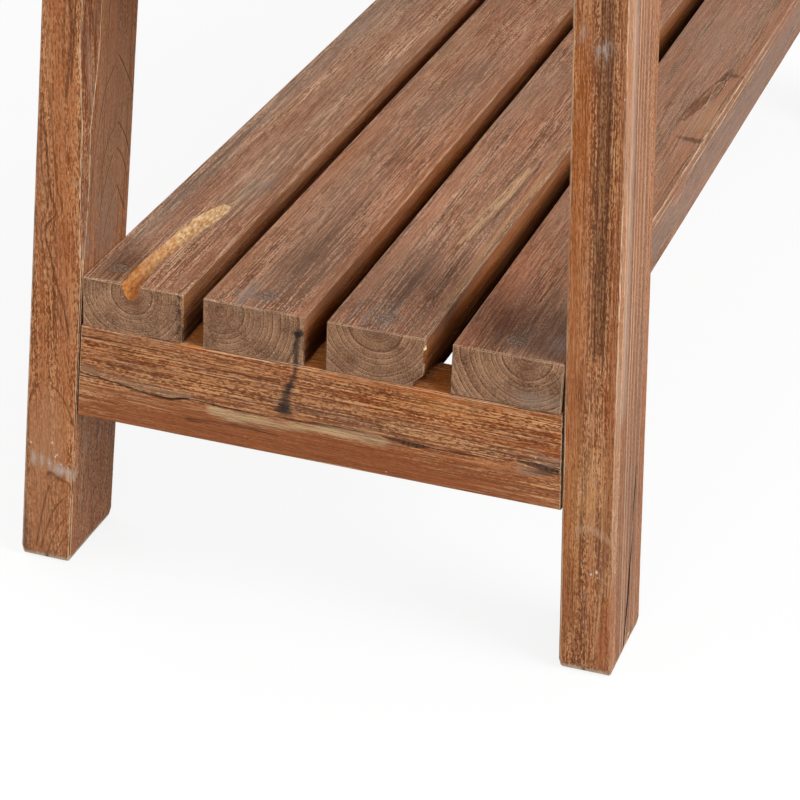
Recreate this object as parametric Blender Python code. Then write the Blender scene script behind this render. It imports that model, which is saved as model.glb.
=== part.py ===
"""Slatted teak bench with a shoe shelf: two splayed end frames, four shelf slats and a slatted seat.

Metres. +X runs along the bench, -Y is the front, +Z is up. The origin is on the floor under the middle.
Left is the -X end. Timber is sawn from 60 x 30 stock, so the shelf slats differ a little in width.
"""
import math

import bmesh
import bpy
from mathutils import Matrix, Vector

# Overall sizes
SEAT_LENGTH = 1.000
SEAT_HEIGHT = 0.485
END_OVERHANG = 0.030

# Timber sections
SLAT_THICKNESS = 0.030
SEAT_SLAT_WIDTH = 0.060
LEG_WIDTH = 0.0307
LEG_DEPTH = 0.0624
RAIL_HEIGHT = 0.058
RAIL_THICKNESS = 0.036
APRON_HEIGHT = 0.058
APRON_THICKNESS = 0.022

# Shelf slats from rear to front, and the gaps between them
SHELF_SLAT_WIDTHS = (0.0604, 0.0603, 0.0567, 0.0627)
SHELF_GAPS = (0.0116, 0.0123, 0.0150)

# End frames
RAIL_CLEARANCE = 0.0997
LEG_SPLAY = math.radians(2.98)
SEAT_GAP_MIN = 0.008

# Joints
FIT = 0.0003
TENON_THICKNESS = 0.010
TENON_SHOULDER = 0.010
MORTISE_WALL = 0.009
APRON_TENON_LENGTH = 0.018

# Countersunk screws under filled holes
SCREW_DIAMETER = 0.005
SCREW_HEAD_DIAMETER = 0.0095
SCREW_BITE = 0.025
SCREW_POINT = 0.006
FILLER_DIAMETER = 0.012
FILLER_DEPTH = 0.005
HOLE_RUN_OUT = 0.001
TURNED_SIDES = 16

# Eased arrises
SLAT_EASE = 0.0016
RAIL_EASE = 0.0014
LEG_EASE = 0.0014
FOOT_EASE = 0.0022

# Wane on the inner end corner of the rear left leg: it swells and dies out again
WANE_START = 0.180
WANE_LENGTH = 0.300
WANE_ACROSS_END = 0.0070
WANE_ACROSS_INSIDE = 0.0100
WANE_STEPS = 8

# Worn outer end corner of the front left leg
WORN_CORNER = 0.0032

# Resin channel in the top of the rear shelf slat, open at the left end
CHANNEL_LENGTH = 0.124
CHANNEL_INSET = 0.0290
CHANNEL_DRIFT = 0.0090
CHANNEL_WIDTH = 0.0116
CHANNEL_DEPTH = 0.0112
CHANNEL_WALL = 0.0030

# Split-off lower front corner at the left end of the third shelf slat
SPLIT_ACROSS = 0.0087
SPLIT_UP = 0.0118
SPLIT_LENGTH = 0.036

# Levels and places that follow from the sizes above
SPLAY = math.tan(LEG_SPLAY)
FRAME_END = SEAT_LENGTH / 2 - END_OVERHANG
RAIL_TOP = RAIL_CLEARANCE + RAIL_HEIGHT
SHELF_TOP = RAIL_TOP + FIT + SLAT_THICKNESS
LEG_TOP = SEAT_HEIGHT - SLAT_THICKNESS - FIT
SHELF_WIDTH = sum(SHELF_SLAT_WIDTHS) + sum(SHELF_GAPS)
LEG_SPAN_Y = LEG_WIDTH / math.cos(LEG_SPLAY)
RAIL_MIDDLE = FRAME_END - RAIL_THICKNESS / 2
LEG_MIDDLE = FRAME_END - LEG_DEPTH / 2
TENON_LENGTH = LEG_SPAN_Y - MORTISE_WALL
HEAD_HEIGHT = (SCREW_HEAD_DIAMETER - SCREW_DIAMETER) / 2
SCREW_DROP = FILLER_DEPTH + FIT
SCREW_LENGTH = SLAT_THICKNESS - SCREW_DROP + SCREW_BITE

ENDS = {"left": -1, "right": 1}
SIDES = {"front": -1, "rear": 1}


def inner_face(z):
    """Distance of the legs' inner faces from the middle plane at height z."""
    return SHELF_WIDTH / 2 + FIT + SPLAY * (SHELF_TOP - z)


def clear_scene():
    """Remove every object, so that the script can be run again."""
    for thing in list(bpy.data.objects):
        bpy.data.objects.remove(thing, do_unlink=True)


def finish(name, colour, roughness, metallic=0.0):
    """A Principled material."""
    material = bpy.data.materials.new(name)
    material.use_nodes = True
    shader = material.node_tree.nodes["Principled BSDF"]
    shader.inputs["Base Color"].default_value = (*colour, 1.0)
    shader.inputs["Roughness"].default_value = roughness
    shader.inputs["Metallic"].default_value = metallic
    return material


def add_object(name, bm, material=None, location=(0.0, 0.0, 0.0)):
    """Turn a bmesh into a named object; one with no material is a hidden cutting tool."""
    bmesh.ops.recalc_face_normals(bm, faces=bm.faces)
    mesh = bpy.data.meshes.new(name)
    bm.to_mesh(mesh)
    bm.free()
    thing = bpy.data.objects.new(name, mesh)
    thing.location = location
    bpy.context.scene.collection.objects.link(thing)
    if material:
        mesh.materials.append(material)
    else:
        thing.hide_render = True
        thing.display_type = "WIRE"
    return thing


def boolean(target, tool, operation="DIFFERENCE"):
    """Cut the tool out of the target, or join it on."""
    step = target.modifiers.new(tool.name, "BOOLEAN")
    step.operation = operation
    step.solver = "EXACT"
    step.object = tool


def section(half_u, half_v, cuts):
    """Eight points round a board: each corner is cut off by its (along u, along v) pair.

    The corners run (-u, -v), (+u, -v), (+u, +v), (-u, +v).
    """
    points = []
    for (sign_u, sign_v), (cut_u, cut_v) in zip(((-1, -1), (1, -1), (1, 1), (-1, 1)), cuts):
        on_u_face = (sign_u * half_u, sign_v * (half_v - cut_v))
        on_v_face = (sign_u * (half_u - cut_u), sign_v * half_v)
        points += [on_u_face, on_v_face] if sign_u == sign_v else [on_v_face, on_u_face]
    return points


def loft(rings):
    """Skin closed rings of points and cap both ends."""
    bm = bmesh.new()
    loops = [[bm.verts.new(point) for point in ring] for ring in rings]
    for near, far in zip(loops, loops[1:]):
        for index in range(len(near)):
            follow = (index + 1) % len(near)
            bm.faces.new((near[index], near[follow], far[follow], far[index]))
    bm.faces.new(loops[0])
    bm.faces.new(loops[-1])
    return bm


def block(low, high):
    """A plain box between two corners."""
    centre = (Vector(low) + Vector(high)) / 2
    size = Vector(high) - Vector(low)
    bm = bmesh.new()
    place = Matrix.Translation(centre) @ Matrix.Diagonal((*size, 1.0))
    bmesh.ops.create_cube(bm, size=1.0, matrix=place)
    return bm


def turned(profile):
    """Revolve (radius, height) points about Z; the first and last lie on the axis."""
    bm = bmesh.new()
    points = [bm.verts.new((radius, 0.0, height)) for radius, height in profile]
    edges = [bm.edges.new(pair) for pair in zip(points, points[1:])]
    bmesh.ops.spin(
        bm, geom=points + edges, cent=(0, 0, 0), axis=(0, 0, 1), dvec=(0, 0, 0),
        angle=2 * math.pi, steps=TURNED_SIDES, use_duplicate=False,
    )
    bmesh.ops.remove_doubles(bm, verts=bm.verts, dist=1e-6)
    return bm


def slat_body(length, width, split=None):
    """A slat along X about its own middle, with eased arrises.

    A split takes off the lower front corner at the left end and dies out along the slat.
    """
    half_x, half_y, half_z = length / 2, width / 2, SLAT_THICKNESS / 2
    eased = (SLAT_EASE, SLAT_EASE)
    split_cut = split or eased
    stations = [
        (-half_x, SLAT_EASE, split_cut),
        (-half_x + SLAT_EASE, 0.0, split_cut),
        (-half_x + SPLIT_LENGTH, 0.0, eased),
        (half_x - SLAT_EASE, 0.0, eased),
        (half_x, SLAT_EASE, eased),
    ]
    if not split:
        del stations[2]
    rings = []
    for x, inset, corner in stations:
        outline = section(half_y - inset, half_z - inset, (corner, eased, eased, eased))
        rings.append([(x, y, z) for y, z in outline])
    return loft(rings)


def screw_hole_tool(name, x, y, top):
    """Filler pocket, countersink and clearance hole, and the blind pilot hole below them."""
    head = SCREW_HEAD_DIAMETER / 2 + FIT
    shank = SCREW_DIAMETER / 2 + FIT
    pocket = FILLER_DIAMETER / 2 + FIT
    seat = -SCREW_DROP - FIT
    bottom = -SCREW_DROP - SCREW_LENGTH - HOLE_RUN_OUT
    profile = [
        (0.0, HOLE_RUN_OUT), (pocket, HOLE_RUN_OUT), (pocket, seat), (head, seat),
        (shank, seat - HEAD_HEIGHT), (shank, bottom + SCREW_POINT), (0.0, bottom),
    ]
    return add_object(name, turned(profile), location=(x, y, top))


def fixing(name, x, y, top, pieces, materials):
    """One screw with its filling, and the hole for both through the slat and into its bearer."""
    hole = screw_hole_tool(f"{name}_hole", x, y, top)
    for piece in pieces:
        boolean(piece, hole)
    head = SCREW_HEAD_DIAMETER / 2
    shank = SCREW_DIAMETER / 2
    screw = [
        (0.0, -SCREW_DROP), (head, -SCREW_DROP), (shank, -SCREW_DROP - HEAD_HEIGHT),
        (shank, -SCREW_DROP - SCREW_LENGTH + SCREW_POINT), (0.0, -SCREW_DROP - SCREW_LENGTH),
    ]
    add_object(f"{name}_screw", turned(screw), materials["screw"], (x, y, top))
    plug = FILLER_DIAMETER / 2
    filling = [(0.0, 0.0), (plug, 0.0), (plug, -FILLER_DEPTH), (0.0, -FILLER_DEPTH)]
    add_object(f"{name}_filler", turned(filling), materials["filler"], (x, y, top))


def wane_cuts(height):
    """How much wane the leg has lost at a height, across its end face and its inner face."""
    along = (height - WANE_START) / WANE_LENGTH
    swell = math.sin(math.pi * along) if 0.0 < along < 1.0 else 0.0
    return (
        LEG_EASE + (WANE_ACROSS_INSIDE - LEG_EASE) * swell,
        LEG_EASE + (WANE_ACROSS_END - LEG_EASE) * swell,
    )


def leaning(bm, side):
    """Lean a leg's mesh inwards towards its top."""
    for vert in bm.verts:
        vert.co.y -= side * SPLAY * vert.co.z
    return bm


def leg_body(end, side):
    """A leg about the middle of its foot. Its end corner may carry wane, its outer one wear."""
    half_x, half_y = LEG_DEPTH / 2, LEG_SPAN_Y / 2
    has_wane = (end, side) == (ENDS["left"], SIDES["rear"])
    has_wear = (end, side) == (ENDS["left"], SIDES["front"])
    heights = [0.0, FOOT_EASE]
    if has_wane:
        heights += [WANE_START + WANE_LENGTH * step / WANE_STEPS for step in range(WANE_STEPS + 1)]
        heights = [height for height in heights if height < LEG_TOP]
    heights.append(LEG_TOP)
    rings = []
    for height in heights:
        inset = FOOT_EASE if height == 0.0 else 0.0
        cuts = []
        for sign_x, sign_y in ((-1, -1), (1, -1), (1, 1), (-1, 1)):
            at_end, outside = sign_x == end, sign_y == side
            if has_wane and at_end and not outside:
                cuts.append(wane_cuts(height))
            elif has_wear and at_end and outside:
                cuts.append((WORN_CORNER, WORN_CORNER))
            else:
                cuts.append((LEG_EASE, LEG_EASE))
        outline = section(half_x - inset, half_y - inset, cuts)
        rings.append([(x, y, height) for x, y in outline])
    return leaning(loft(rings), side)


def mortise_tool(name, low, high, side, location):
    """A mortise in a leg, leaning with it."""
    return add_object(name, leaning(block(low, high), side), location=location)


def rail_body(bottom, half_thickness, half_height, reach, ease):
    """A bar along Y whose ends follow the legs' inner faces, a reach beyond them."""
    cuts = [(ease, ease)] * 4
    rings = []
    for sign in (-1, 1):
        ring = []
        for x, z in section(half_thickness, half_height, cuts):
            level = bottom + half_height + z
            ring.append((x, sign * (inner_face(level) + reach), level))
        rings.append(ring)
    return loft(rings)


def rail(name, end, bottom, legs, material):
    """An end rail with a stub tenon at each end, and the mortises for them."""
    x = end * RAIL_MIDDLE
    bar = rail_body(bottom, RAIL_THICKNESS / 2, RAIL_HEIGHT / 2, -FIT, RAIL_EASE)
    piece = add_object(name, bar, material, (x, 0.0, 0.0))
    tenon_half = RAIL_HEIGHT / 2 - TENON_SHOULDER
    tenons = rail_body(
        bottom + TENON_SHOULDER, TENON_THICKNESS / 2, tenon_half, TENON_LENGTH - FIT, 0.0,
    )
    boolean(piece, add_object(f"{name}_tenons", tenons, location=(x, 0.0, 0.0)), "UNION")
    for side_name, side in SIDES.items():
        inside = -side * (LEG_SPAN_Y / 2 + HOLE_RUN_OUT)
        deep = side * (TENON_LENGTH - LEG_SPAN_Y / 2)
        offset = end * (RAIL_MIDDLE - LEG_MIDDLE)
        half = TENON_THICKNESS / 2 + FIT
        low = (offset - half, min(inside, deep), bottom + TENON_SHOULDER - FIT)
        high = (offset + half, max(inside, deep), bottom + RAIL_HEIGHT - TENON_SHOULDER + FIT)
        leg = legs[side]
        boolean(leg, mortise_tool(f"{name}_{side_name}_mortise", low, high, side, leg.location))
    return piece


def apron(name, side, legs, material):
    """A long rail under the seat with a stub tenon at each end, and the mortises for them."""
    bottom = LEG_TOP - APRON_HEIGHT
    middle = bottom + APRON_HEIGHT / 2
    y = side * (inner_face(middle) + LEG_SPAN_Y / 2)
    half_length = FRAME_END - LEG_DEPTH - FIT
    half_z = APRON_HEIGHT / 2
    outline = section(APRON_THICKNESS / 2, half_z, [(RAIL_EASE, RAIL_EASE)] * 4)
    bar = loft([[(x, v, w) for v, w in outline] for x in (-half_length, half_length)])
    piece = add_object(name, bar, material, (0.0, y, middle))
    tenon_y, tenon_z = TENON_THICKNESS / 2, half_z - TENON_SHOULDER
    reach = half_length + APRON_TENON_LENGTH
    tenons = block((-reach, -tenon_y, -tenon_z), (reach, tenon_y, tenon_z))
    boolean(piece, add_object(f"{name}_tenons", tenons, location=piece.location), "UNION")
    reach += FIT
    low = (-reach, -tenon_y - FIT, -tenon_z - FIT)
    high = (reach, tenon_y + FIT, tenon_z + FIT)
    mortises = add_object(f"{name}_mortises", block(low, high), location=piece.location)
    for leg in legs:
        boolean(leg, mortises)
    return piece


def build_legs(material):
    """Four legs, kept by (end, side)."""
    legs = {}
    for end_name, end in ENDS.items():
        for side_name, side in SIDES.items():
            foot = (end * LEG_MIDDLE, side * (inner_face(0.0) + LEG_SPAN_Y / 2), 0.0)
            body = leg_body(end, side)
            legs[end, side] = add_object(f"leg_{side_name}_{end_name}", body, material, foot)
    return legs


def build_rails(legs, material):
    """Lower and upper rails, kept by (level, end)."""
    bottoms = {"lower": RAIL_CLEARANCE, "upper": LEG_TOP - RAIL_HEIGHT}
    rails = {}
    for level, bottom in bottoms.items():
        for end_name, end in ENDS.items():
            pair = {side: legs[end, side] for side in SIDES.values()}
            rails[level, end] = rail(f"{level}_rail_{end_name}", end, bottom, pair, material)
    return rails


def cut_channel(slat, length, width):
    """The resin channel: a round trough, deepest at the slat's left end and running out on top."""
    radius = CHANNEL_WIDTH / 2
    start = Vector((-length / 2, width / 2 - CHANNEL_INSET, SLAT_THICKNESS / 2 - CHANNEL_DEPTH + radius))
    stop = Vector((start.x + CHANNEL_LENGTH, start.y - CHANNEL_DRIFT, SLAT_THICKNESS / 2 + radius))
    run = stop - start
    centre = (start + stop) / 2
    turn = run.to_track_quat("Z", "Y").to_matrix().to_4x4()
    bm = bmesh.new()
    bmesh.ops.create_cone(
        bm, cap_ends=True, segments=TURNED_SIDES, radius1=radius, radius2=radius,
        depth=run.length + 2 * radius, matrix=Matrix.Translation(centre) @ turn,
    )
    boolean(slat, add_object(f"{slat.name}_channel", bm, location=slat.location))


def build_shelf(rails, materials):
    """The four shelf slats, each screwed to both lower rails."""
    length = 2 * FRAME_END
    edge = SHELF_WIDTH / 2
    for number, width in enumerate(SHELF_SLAT_WIDTHS, start=1):
        y = edge - width / 2
        split = (SPLIT_ACROSS, SPLIT_UP) if number == 3 else None
        place = (0.0, y, SHELF_TOP - SLAT_THICKNESS / 2)
        slat = add_object(f"shelf_slat_{number}", slat_body(length, width, split), materials["slat"], place)
        screw_y = dict.fromkeys(ENDS, y)
        if number == 1:
            cut_channel(slat, length, width)
            clear_of_channel = (CHANNEL_WIDTH + FILLER_DIAMETER) / 2 + CHANNEL_WALL
            screw_y["left"] = edge - CHANNEL_INSET + clear_of_channel
        for end_name, end in ENDS.items():
            pieces = (slat, rails["lower", end])
            name = f"shelf_{number}_{end_name}"
            fixing(name, end * RAIL_MIDDLE, screw_y[end_name], SHELF_TOP, pieces, materials)
        edge -= width + (SHELF_GAPS[number - 1] if number <= len(SHELF_GAPS) else 0.0)


def build_seat(legs, rails, materials):
    """Seat slats: the outer two stand on the leg tops, and the rest share the space between."""
    outer = inner_face(LEG_TOP) + LEG_SPAN_Y / 2
    spaces = int(2 * outer / (SEAT_SLAT_WIDTH + SEAT_GAP_MIN))
    pitch = 2 * outer / spaces
    for index in range(spaces + 1):
        y = outer - index * pitch
        place = (0.0, y, SEAT_HEIGHT - SLAT_THICKNESS / 2)
        body = slat_body(SEAT_LENGTH, SEAT_SLAT_WIDTH)
        slat = add_object(f"seat_slat_{index + 1}", body, materials["slat"], place)
        for end_name, end in ENDS.items():
            if index in (0, spaces):
                bearer, x = legs[end, SIDES["rear"] if index == 0 else SIDES["front"]], end * LEG_MIDDLE
            else:
                bearer, x = rails["upper", end], end * RAIL_MIDDLE
            fixing(f"seat_{index + 1}_{end_name}", x, y, SEAT_HEIGHT, (slat, bearer), materials)


def main():
    clear_scene()
    materials = {
        "leg": finish("teak_leg", (0.262, 0.122, 0.060), 0.50),
        "rail": finish("teak_rail", (0.290, 0.127, 0.054), 0.50),
        "slat": finish("teak_slat", (0.225, 0.117, 0.070), 0.52),
        "screw": finish("zinc_plated_steel", (0.560, 0.550, 0.500), 0.35, 1.0),
        "filler": finish("wood_filler", (0.150, 0.095, 0.065), 0.80),
    }
    legs = build_legs(materials["leg"])
    rails = build_rails(legs, materials["rail"])
    for side_name, side in SIDES.items():
        apron(f"apron_{side_name}", side, [legs[end, side] for end in ENDS.values()], materials["rail"])
    build_shelf(rails, materials)
    build_seat(legs, rails, materials)


if __name__ == "__main__":
    main()
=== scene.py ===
"""Looks of a slatted teak bench with a shoe shelf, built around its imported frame.

Metres, in the frame's own axes: +X along the bench, -Y its front, +Z up. The photographed end is at -X.
Every board is modelled again with worn arrises, checks, chips and wane, and gets a teak finish whose
growth rings run through the whole board, so that faces and ends show one and the same tree.
"""

import logging
import math
from collections.abc import Callable
from dataclasses import dataclass
from enum import Enum
from functools import partial

import bmesh
import bpy
from mathutils import Matrix, Vector, noise

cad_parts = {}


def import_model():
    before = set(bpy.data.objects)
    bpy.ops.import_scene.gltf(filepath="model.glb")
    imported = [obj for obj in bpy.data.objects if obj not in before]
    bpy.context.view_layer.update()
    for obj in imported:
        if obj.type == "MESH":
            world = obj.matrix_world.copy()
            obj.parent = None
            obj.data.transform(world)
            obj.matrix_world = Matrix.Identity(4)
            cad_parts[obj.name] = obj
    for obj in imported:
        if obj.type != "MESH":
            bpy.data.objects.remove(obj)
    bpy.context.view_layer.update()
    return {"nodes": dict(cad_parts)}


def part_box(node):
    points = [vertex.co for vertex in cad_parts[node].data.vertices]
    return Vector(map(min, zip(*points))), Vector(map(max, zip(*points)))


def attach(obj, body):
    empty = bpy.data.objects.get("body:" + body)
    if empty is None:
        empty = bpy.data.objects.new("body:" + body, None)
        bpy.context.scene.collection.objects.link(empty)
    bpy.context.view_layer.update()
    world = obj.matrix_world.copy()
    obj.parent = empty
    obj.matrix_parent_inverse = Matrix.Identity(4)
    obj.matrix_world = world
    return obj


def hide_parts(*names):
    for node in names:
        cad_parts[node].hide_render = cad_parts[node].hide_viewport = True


LOG = logging.getLogger("teak_bench")
BODY = "root"
PHOTO_PIXELS = 800
SENSOR_MM = 36.0
MM = 0.001
# Where the marked faces lie, in millimetres: the bench's end, the rear leg's inner face and the shelf's top.
END_FACE, INNER_FACE, SHELF_TOP = -470.0, 136.0, 188.0

Colour = tuple[float, float, float, float]
Point = tuple[float, float, float]
Socket = bpy.types.NodeSocket
Tree = bpy.types.NodeTree
Course = tuple[tuple[float, float], ...]
# Adds a node to one tree.
Add = Callable[..., Socket]
# A pattern, where it starts and stops to show, its most cover, what breaks it up and its sRGB tone.
Layer = tuple[Socket, float, float, float, tuple[Socket, ...], str]
RGBA = {"out": 2, "data_type": "RGBA"}


class Axis(Enum):
    """The way a board's grain runs, or a face looks."""

    X = 0
    Y = 1
    Z = 2


class End(Enum):
    """The two ends of the bench, by the sign of x."""

    LEFT = -1
    RIGHT = 1


class Side(Enum):
    """The two long sides of the bench, by the sign of y."""

    FRONT = -1
    REAR = 1


class Level(Enum):
    """The two rails of an end frame."""

    LOWER = "lower"
    UPPER = "upper"


def linear(hex_colour: str) -> Colour:
    """Turn an sRGB hex colour into linear RGBA.

    Args:
        hex_colour: six hex digits after a #.

    Returns:
        Linear red, green, blue and an alpha of 1.
    """
    channels = [int(hex_colour[place:place + 2], 16) / 255 for place in (1, 3, 5)]
    red, green, blue = [c / 12.92 if c <= 0.04045 else ((c + 0.055) / 1.055) ** 2.4 for c in channels]
    return red, green, blue, 1.0


def add_node(tree: Tree, kind: str, inputs: dict | None = None, out: int | str = 0, **settings) -> Socket:
    """Add a shader node, then set or link its inputs.

    Args:
        tree: the node tree.
        kind: the node's type name after ShaderNode.
        inputs: socket name or number to a plain value, or to an output socket to link from.
        out: the output socket that is wanted.
        **settings: properties of the node itself.

    Returns:
        The wanted output socket of the new node.
    """
    node = tree.nodes.new(f"ShaderNode{kind}")
    for name, value in settings.items():
        setattr(node, name, value)
    for key, value in (inputs or {}).items():
        if isinstance(value, Socket):
            tree.links.new(value, node.inputs[key])
        else:
            node.inputs[key].default_value = value
    return node.outputs[out]


def new_material(name: str, shade: Callable[[Add], Socket]) -> bpy.types.Material:
    """Give a node material, made once for all the pieces that share it.

    Args:
        name: what the finish is.
        shade: adds the finish's nodes and gives its shader.

    Returns:
        The material.
    """
    material = bpy.data.materials.get(name)
    if material is None:
        material = bpy.data.materials.new(name)
        material.use_nodes = True
        tree = material.node_tree
        tree.nodes.clear()
        output = tree.nodes.new("ShaderNodeOutputMaterial")
        tree.links.new(shade(partial(add_node, tree)), output.inputs["Surface"])
    return material


# Tones laid on last: dust in pores; pale arrises, rubbed and also painted highlights; pale gold on pores,
# painted highlights; near black in hollows, grime at butt joints and painted shade in creases; near black low
# in gaps, painted shade.
DUST, RUBBED_AND_HIGHLIT, GOLD_GLINT, GRIME_AND_SHADE, GAP_SHADE = "#EDE4DA", "#EDD0AC", "#EBC298", "#1C0F08", "#1F0D03"


@dataclass(frozen=True)
class Finish:
    """A surface finish.

    Attributes:
        name: what it is.
    """

    name: str

    def material(self) -> bpy.types.Material:
        """Give the finish as a material."""
        return new_material(self.name, self.shade)

    def shade(self, add: Add) -> Socket:
        """Add the finish's nodes.

        Args:
            add: adds a node.

        Returns:
            The shader.
        """
        raise NotImplementedError


@dataclass(frozen=True)
class Mark:
    """A stain or patch: a soft ellipsoid of another colour, in millimetres of the frame.

    Attributes:
        place: its centre.
        reach: its half lengths along its own axes.
        colour: its sRGB colour.
        strength: how much it covers, from 0 to 1.
        soft: the share of its reach over which it fades out.
        ragged: how far the grain breaks up its outline.
        turn: its rotation in degrees.
    """

    place: Point
    reach: Point
    colour: str
    strength: float = 0.8
    soft: float = 0.6
    ragged: float = 0.5
    turn: Point = (0.0, 0.0, 0.0)

    def cover(self, add: Add, place: Socket, torn: Socket) -> Socket:
        """Work out how much the mark hides.

        Args:
            add: adds a node.
            place: Object coordinates.
            torn: noise about zero that breaks up the outline.

        Returns:
            The share that it hides.
        """
        within = add("Mapping", {
            0: place, "Location": [MM * v for v in self.place], "Scale": [MM * v for v in self.reach],
            "Rotation": [math.radians(v) for v in self.turn],
        }, vector_type="TEXTURE")
        away = add("VectorMath", {0: within}, "Value", operation="LENGTH")
        away = add("Math", {0: torn, 1: self.ragged, 2: away}, operation="MULTIPLY_ADD")
        return add("MapRange", {0: away, 1: 1.0, 2: 1.0 - self.soft, 3: 0.0, 4: self.strength})


@dataclass(frozen=True)
class Vein:
    """A dark line, band or drip that follows a wavering course on one face, in millimetres of the frame.

    Attributes:
        course: points (along, across) in rising order of along.
        along, across, face: the axes that the course runs along and across, and that the face looks along.
        level: where the face lies.
        width: half its width.
        colour: its sRGB colour.
        strength: how much it covers, from 0 to 1.
        soft: the share of its width over which it fades out.
        ragged: how far the grain breaks it up, in its own half widths.
        depth: how far under the face it still shows.
    """

    course: Course
    along: Axis
    across: Axis
    face: Axis
    level: float
    width: float
    colour: str
    strength: float = 0.8
    soft: float = 0.7
    ragged: float = 0.6
    depth: float = 5.0

    def cover(self, add: Add, place: Socket, torn: Socket) -> Socket:
        """Work out how much the line hides.

        Args:
            add: adds a node.
            place: Object coordinates.
            torn: noise about zero that breaks up the line.

        Returns:
            The share that it hides.
        """
        split = add("SeparateXYZ", {0: place}).node.outputs
        along, across, face = (split[axis.value] for axis in (self.along, self.across, self.face))
        first, last = self.course[0][0], self.course[-1][0]
        low = min(point[1] for point in self.course) - 1.0
        high = max(point[1] for point in self.course) + 1.0
        share = add("MapRange", {0: along, 1: MM * first, 2: MM * last})
        curve = add("FloatCurve", {"Value": share})
        points = curve.node.mapping.curves[0].points
        spots = [((u - first) / (last - first), (v - low) / (high - low)) for u, v in self.course]
        points[0].location = spots[0]
        for spot in spots[1:-1]:
            points.new(*spot)
        points[-1].location = spots[-1]
        curve.node.mapping.update()
        middle = add("MapRange", {0: curve, 3: MM * low, 4: MM * high})
        away = add("Math", {0: across, 1: middle}, operation="SUBTRACT")
        away = add("Math", {0: away, 1: MM * self.width}, operation="DIVIDE")
        away = add("Math", {0: away}, operation="ABSOLUTE")
        away = add("Math", {0: torn, 1: self.ragged, 2: away}, operation="MULTIPLY_ADD")
        cover = add("MapRange", {0: away, 1: 1.0, 2: 1.0 - self.soft, 3: 0.0, 4: self.strength})
        fade = 0.04 * (last - first)
        near = add("Math", {0: face, 1: MM * self.level, 2: MM * self.depth}, operation="COMPARE")
        ends = [add("MapRange", {0: along, 1: MM * edge, 2: MM * inside})
                for edge, inside in ((first, first + fade), (last, last - fade))]
        for factor in (*ends, near):
            cover = add("Math", {0: cover, 1: factor}, operation="MULTIPLY")
        return cover


# Sizes of the grain's parts along and across it in metres, then noise detail and roughness.
GRAIN: dict[str, tuple[float, float, float, float]] = {
    "wander": (0.150, 0.0300, 2.0, 0.50),
    "patch": (0.110, 0.0260, 2.0, 0.55),
    "band": (0.300, 0.0085, 2.0, 0.55),
    "streak": (0.055, 0.0026, 3.0, 0.62),
    "fleck": (0.0036, 0.0006, 2.0, 0.60),
    "line": (0.050, 0.0009, 2.0, 0.60),
    "grit": (0.0022, 0.0008, 1.0, 0.55),
}
WEAR_AND_SHADE = ("cap", "flank", "bark", "arris", "hollow")


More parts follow.
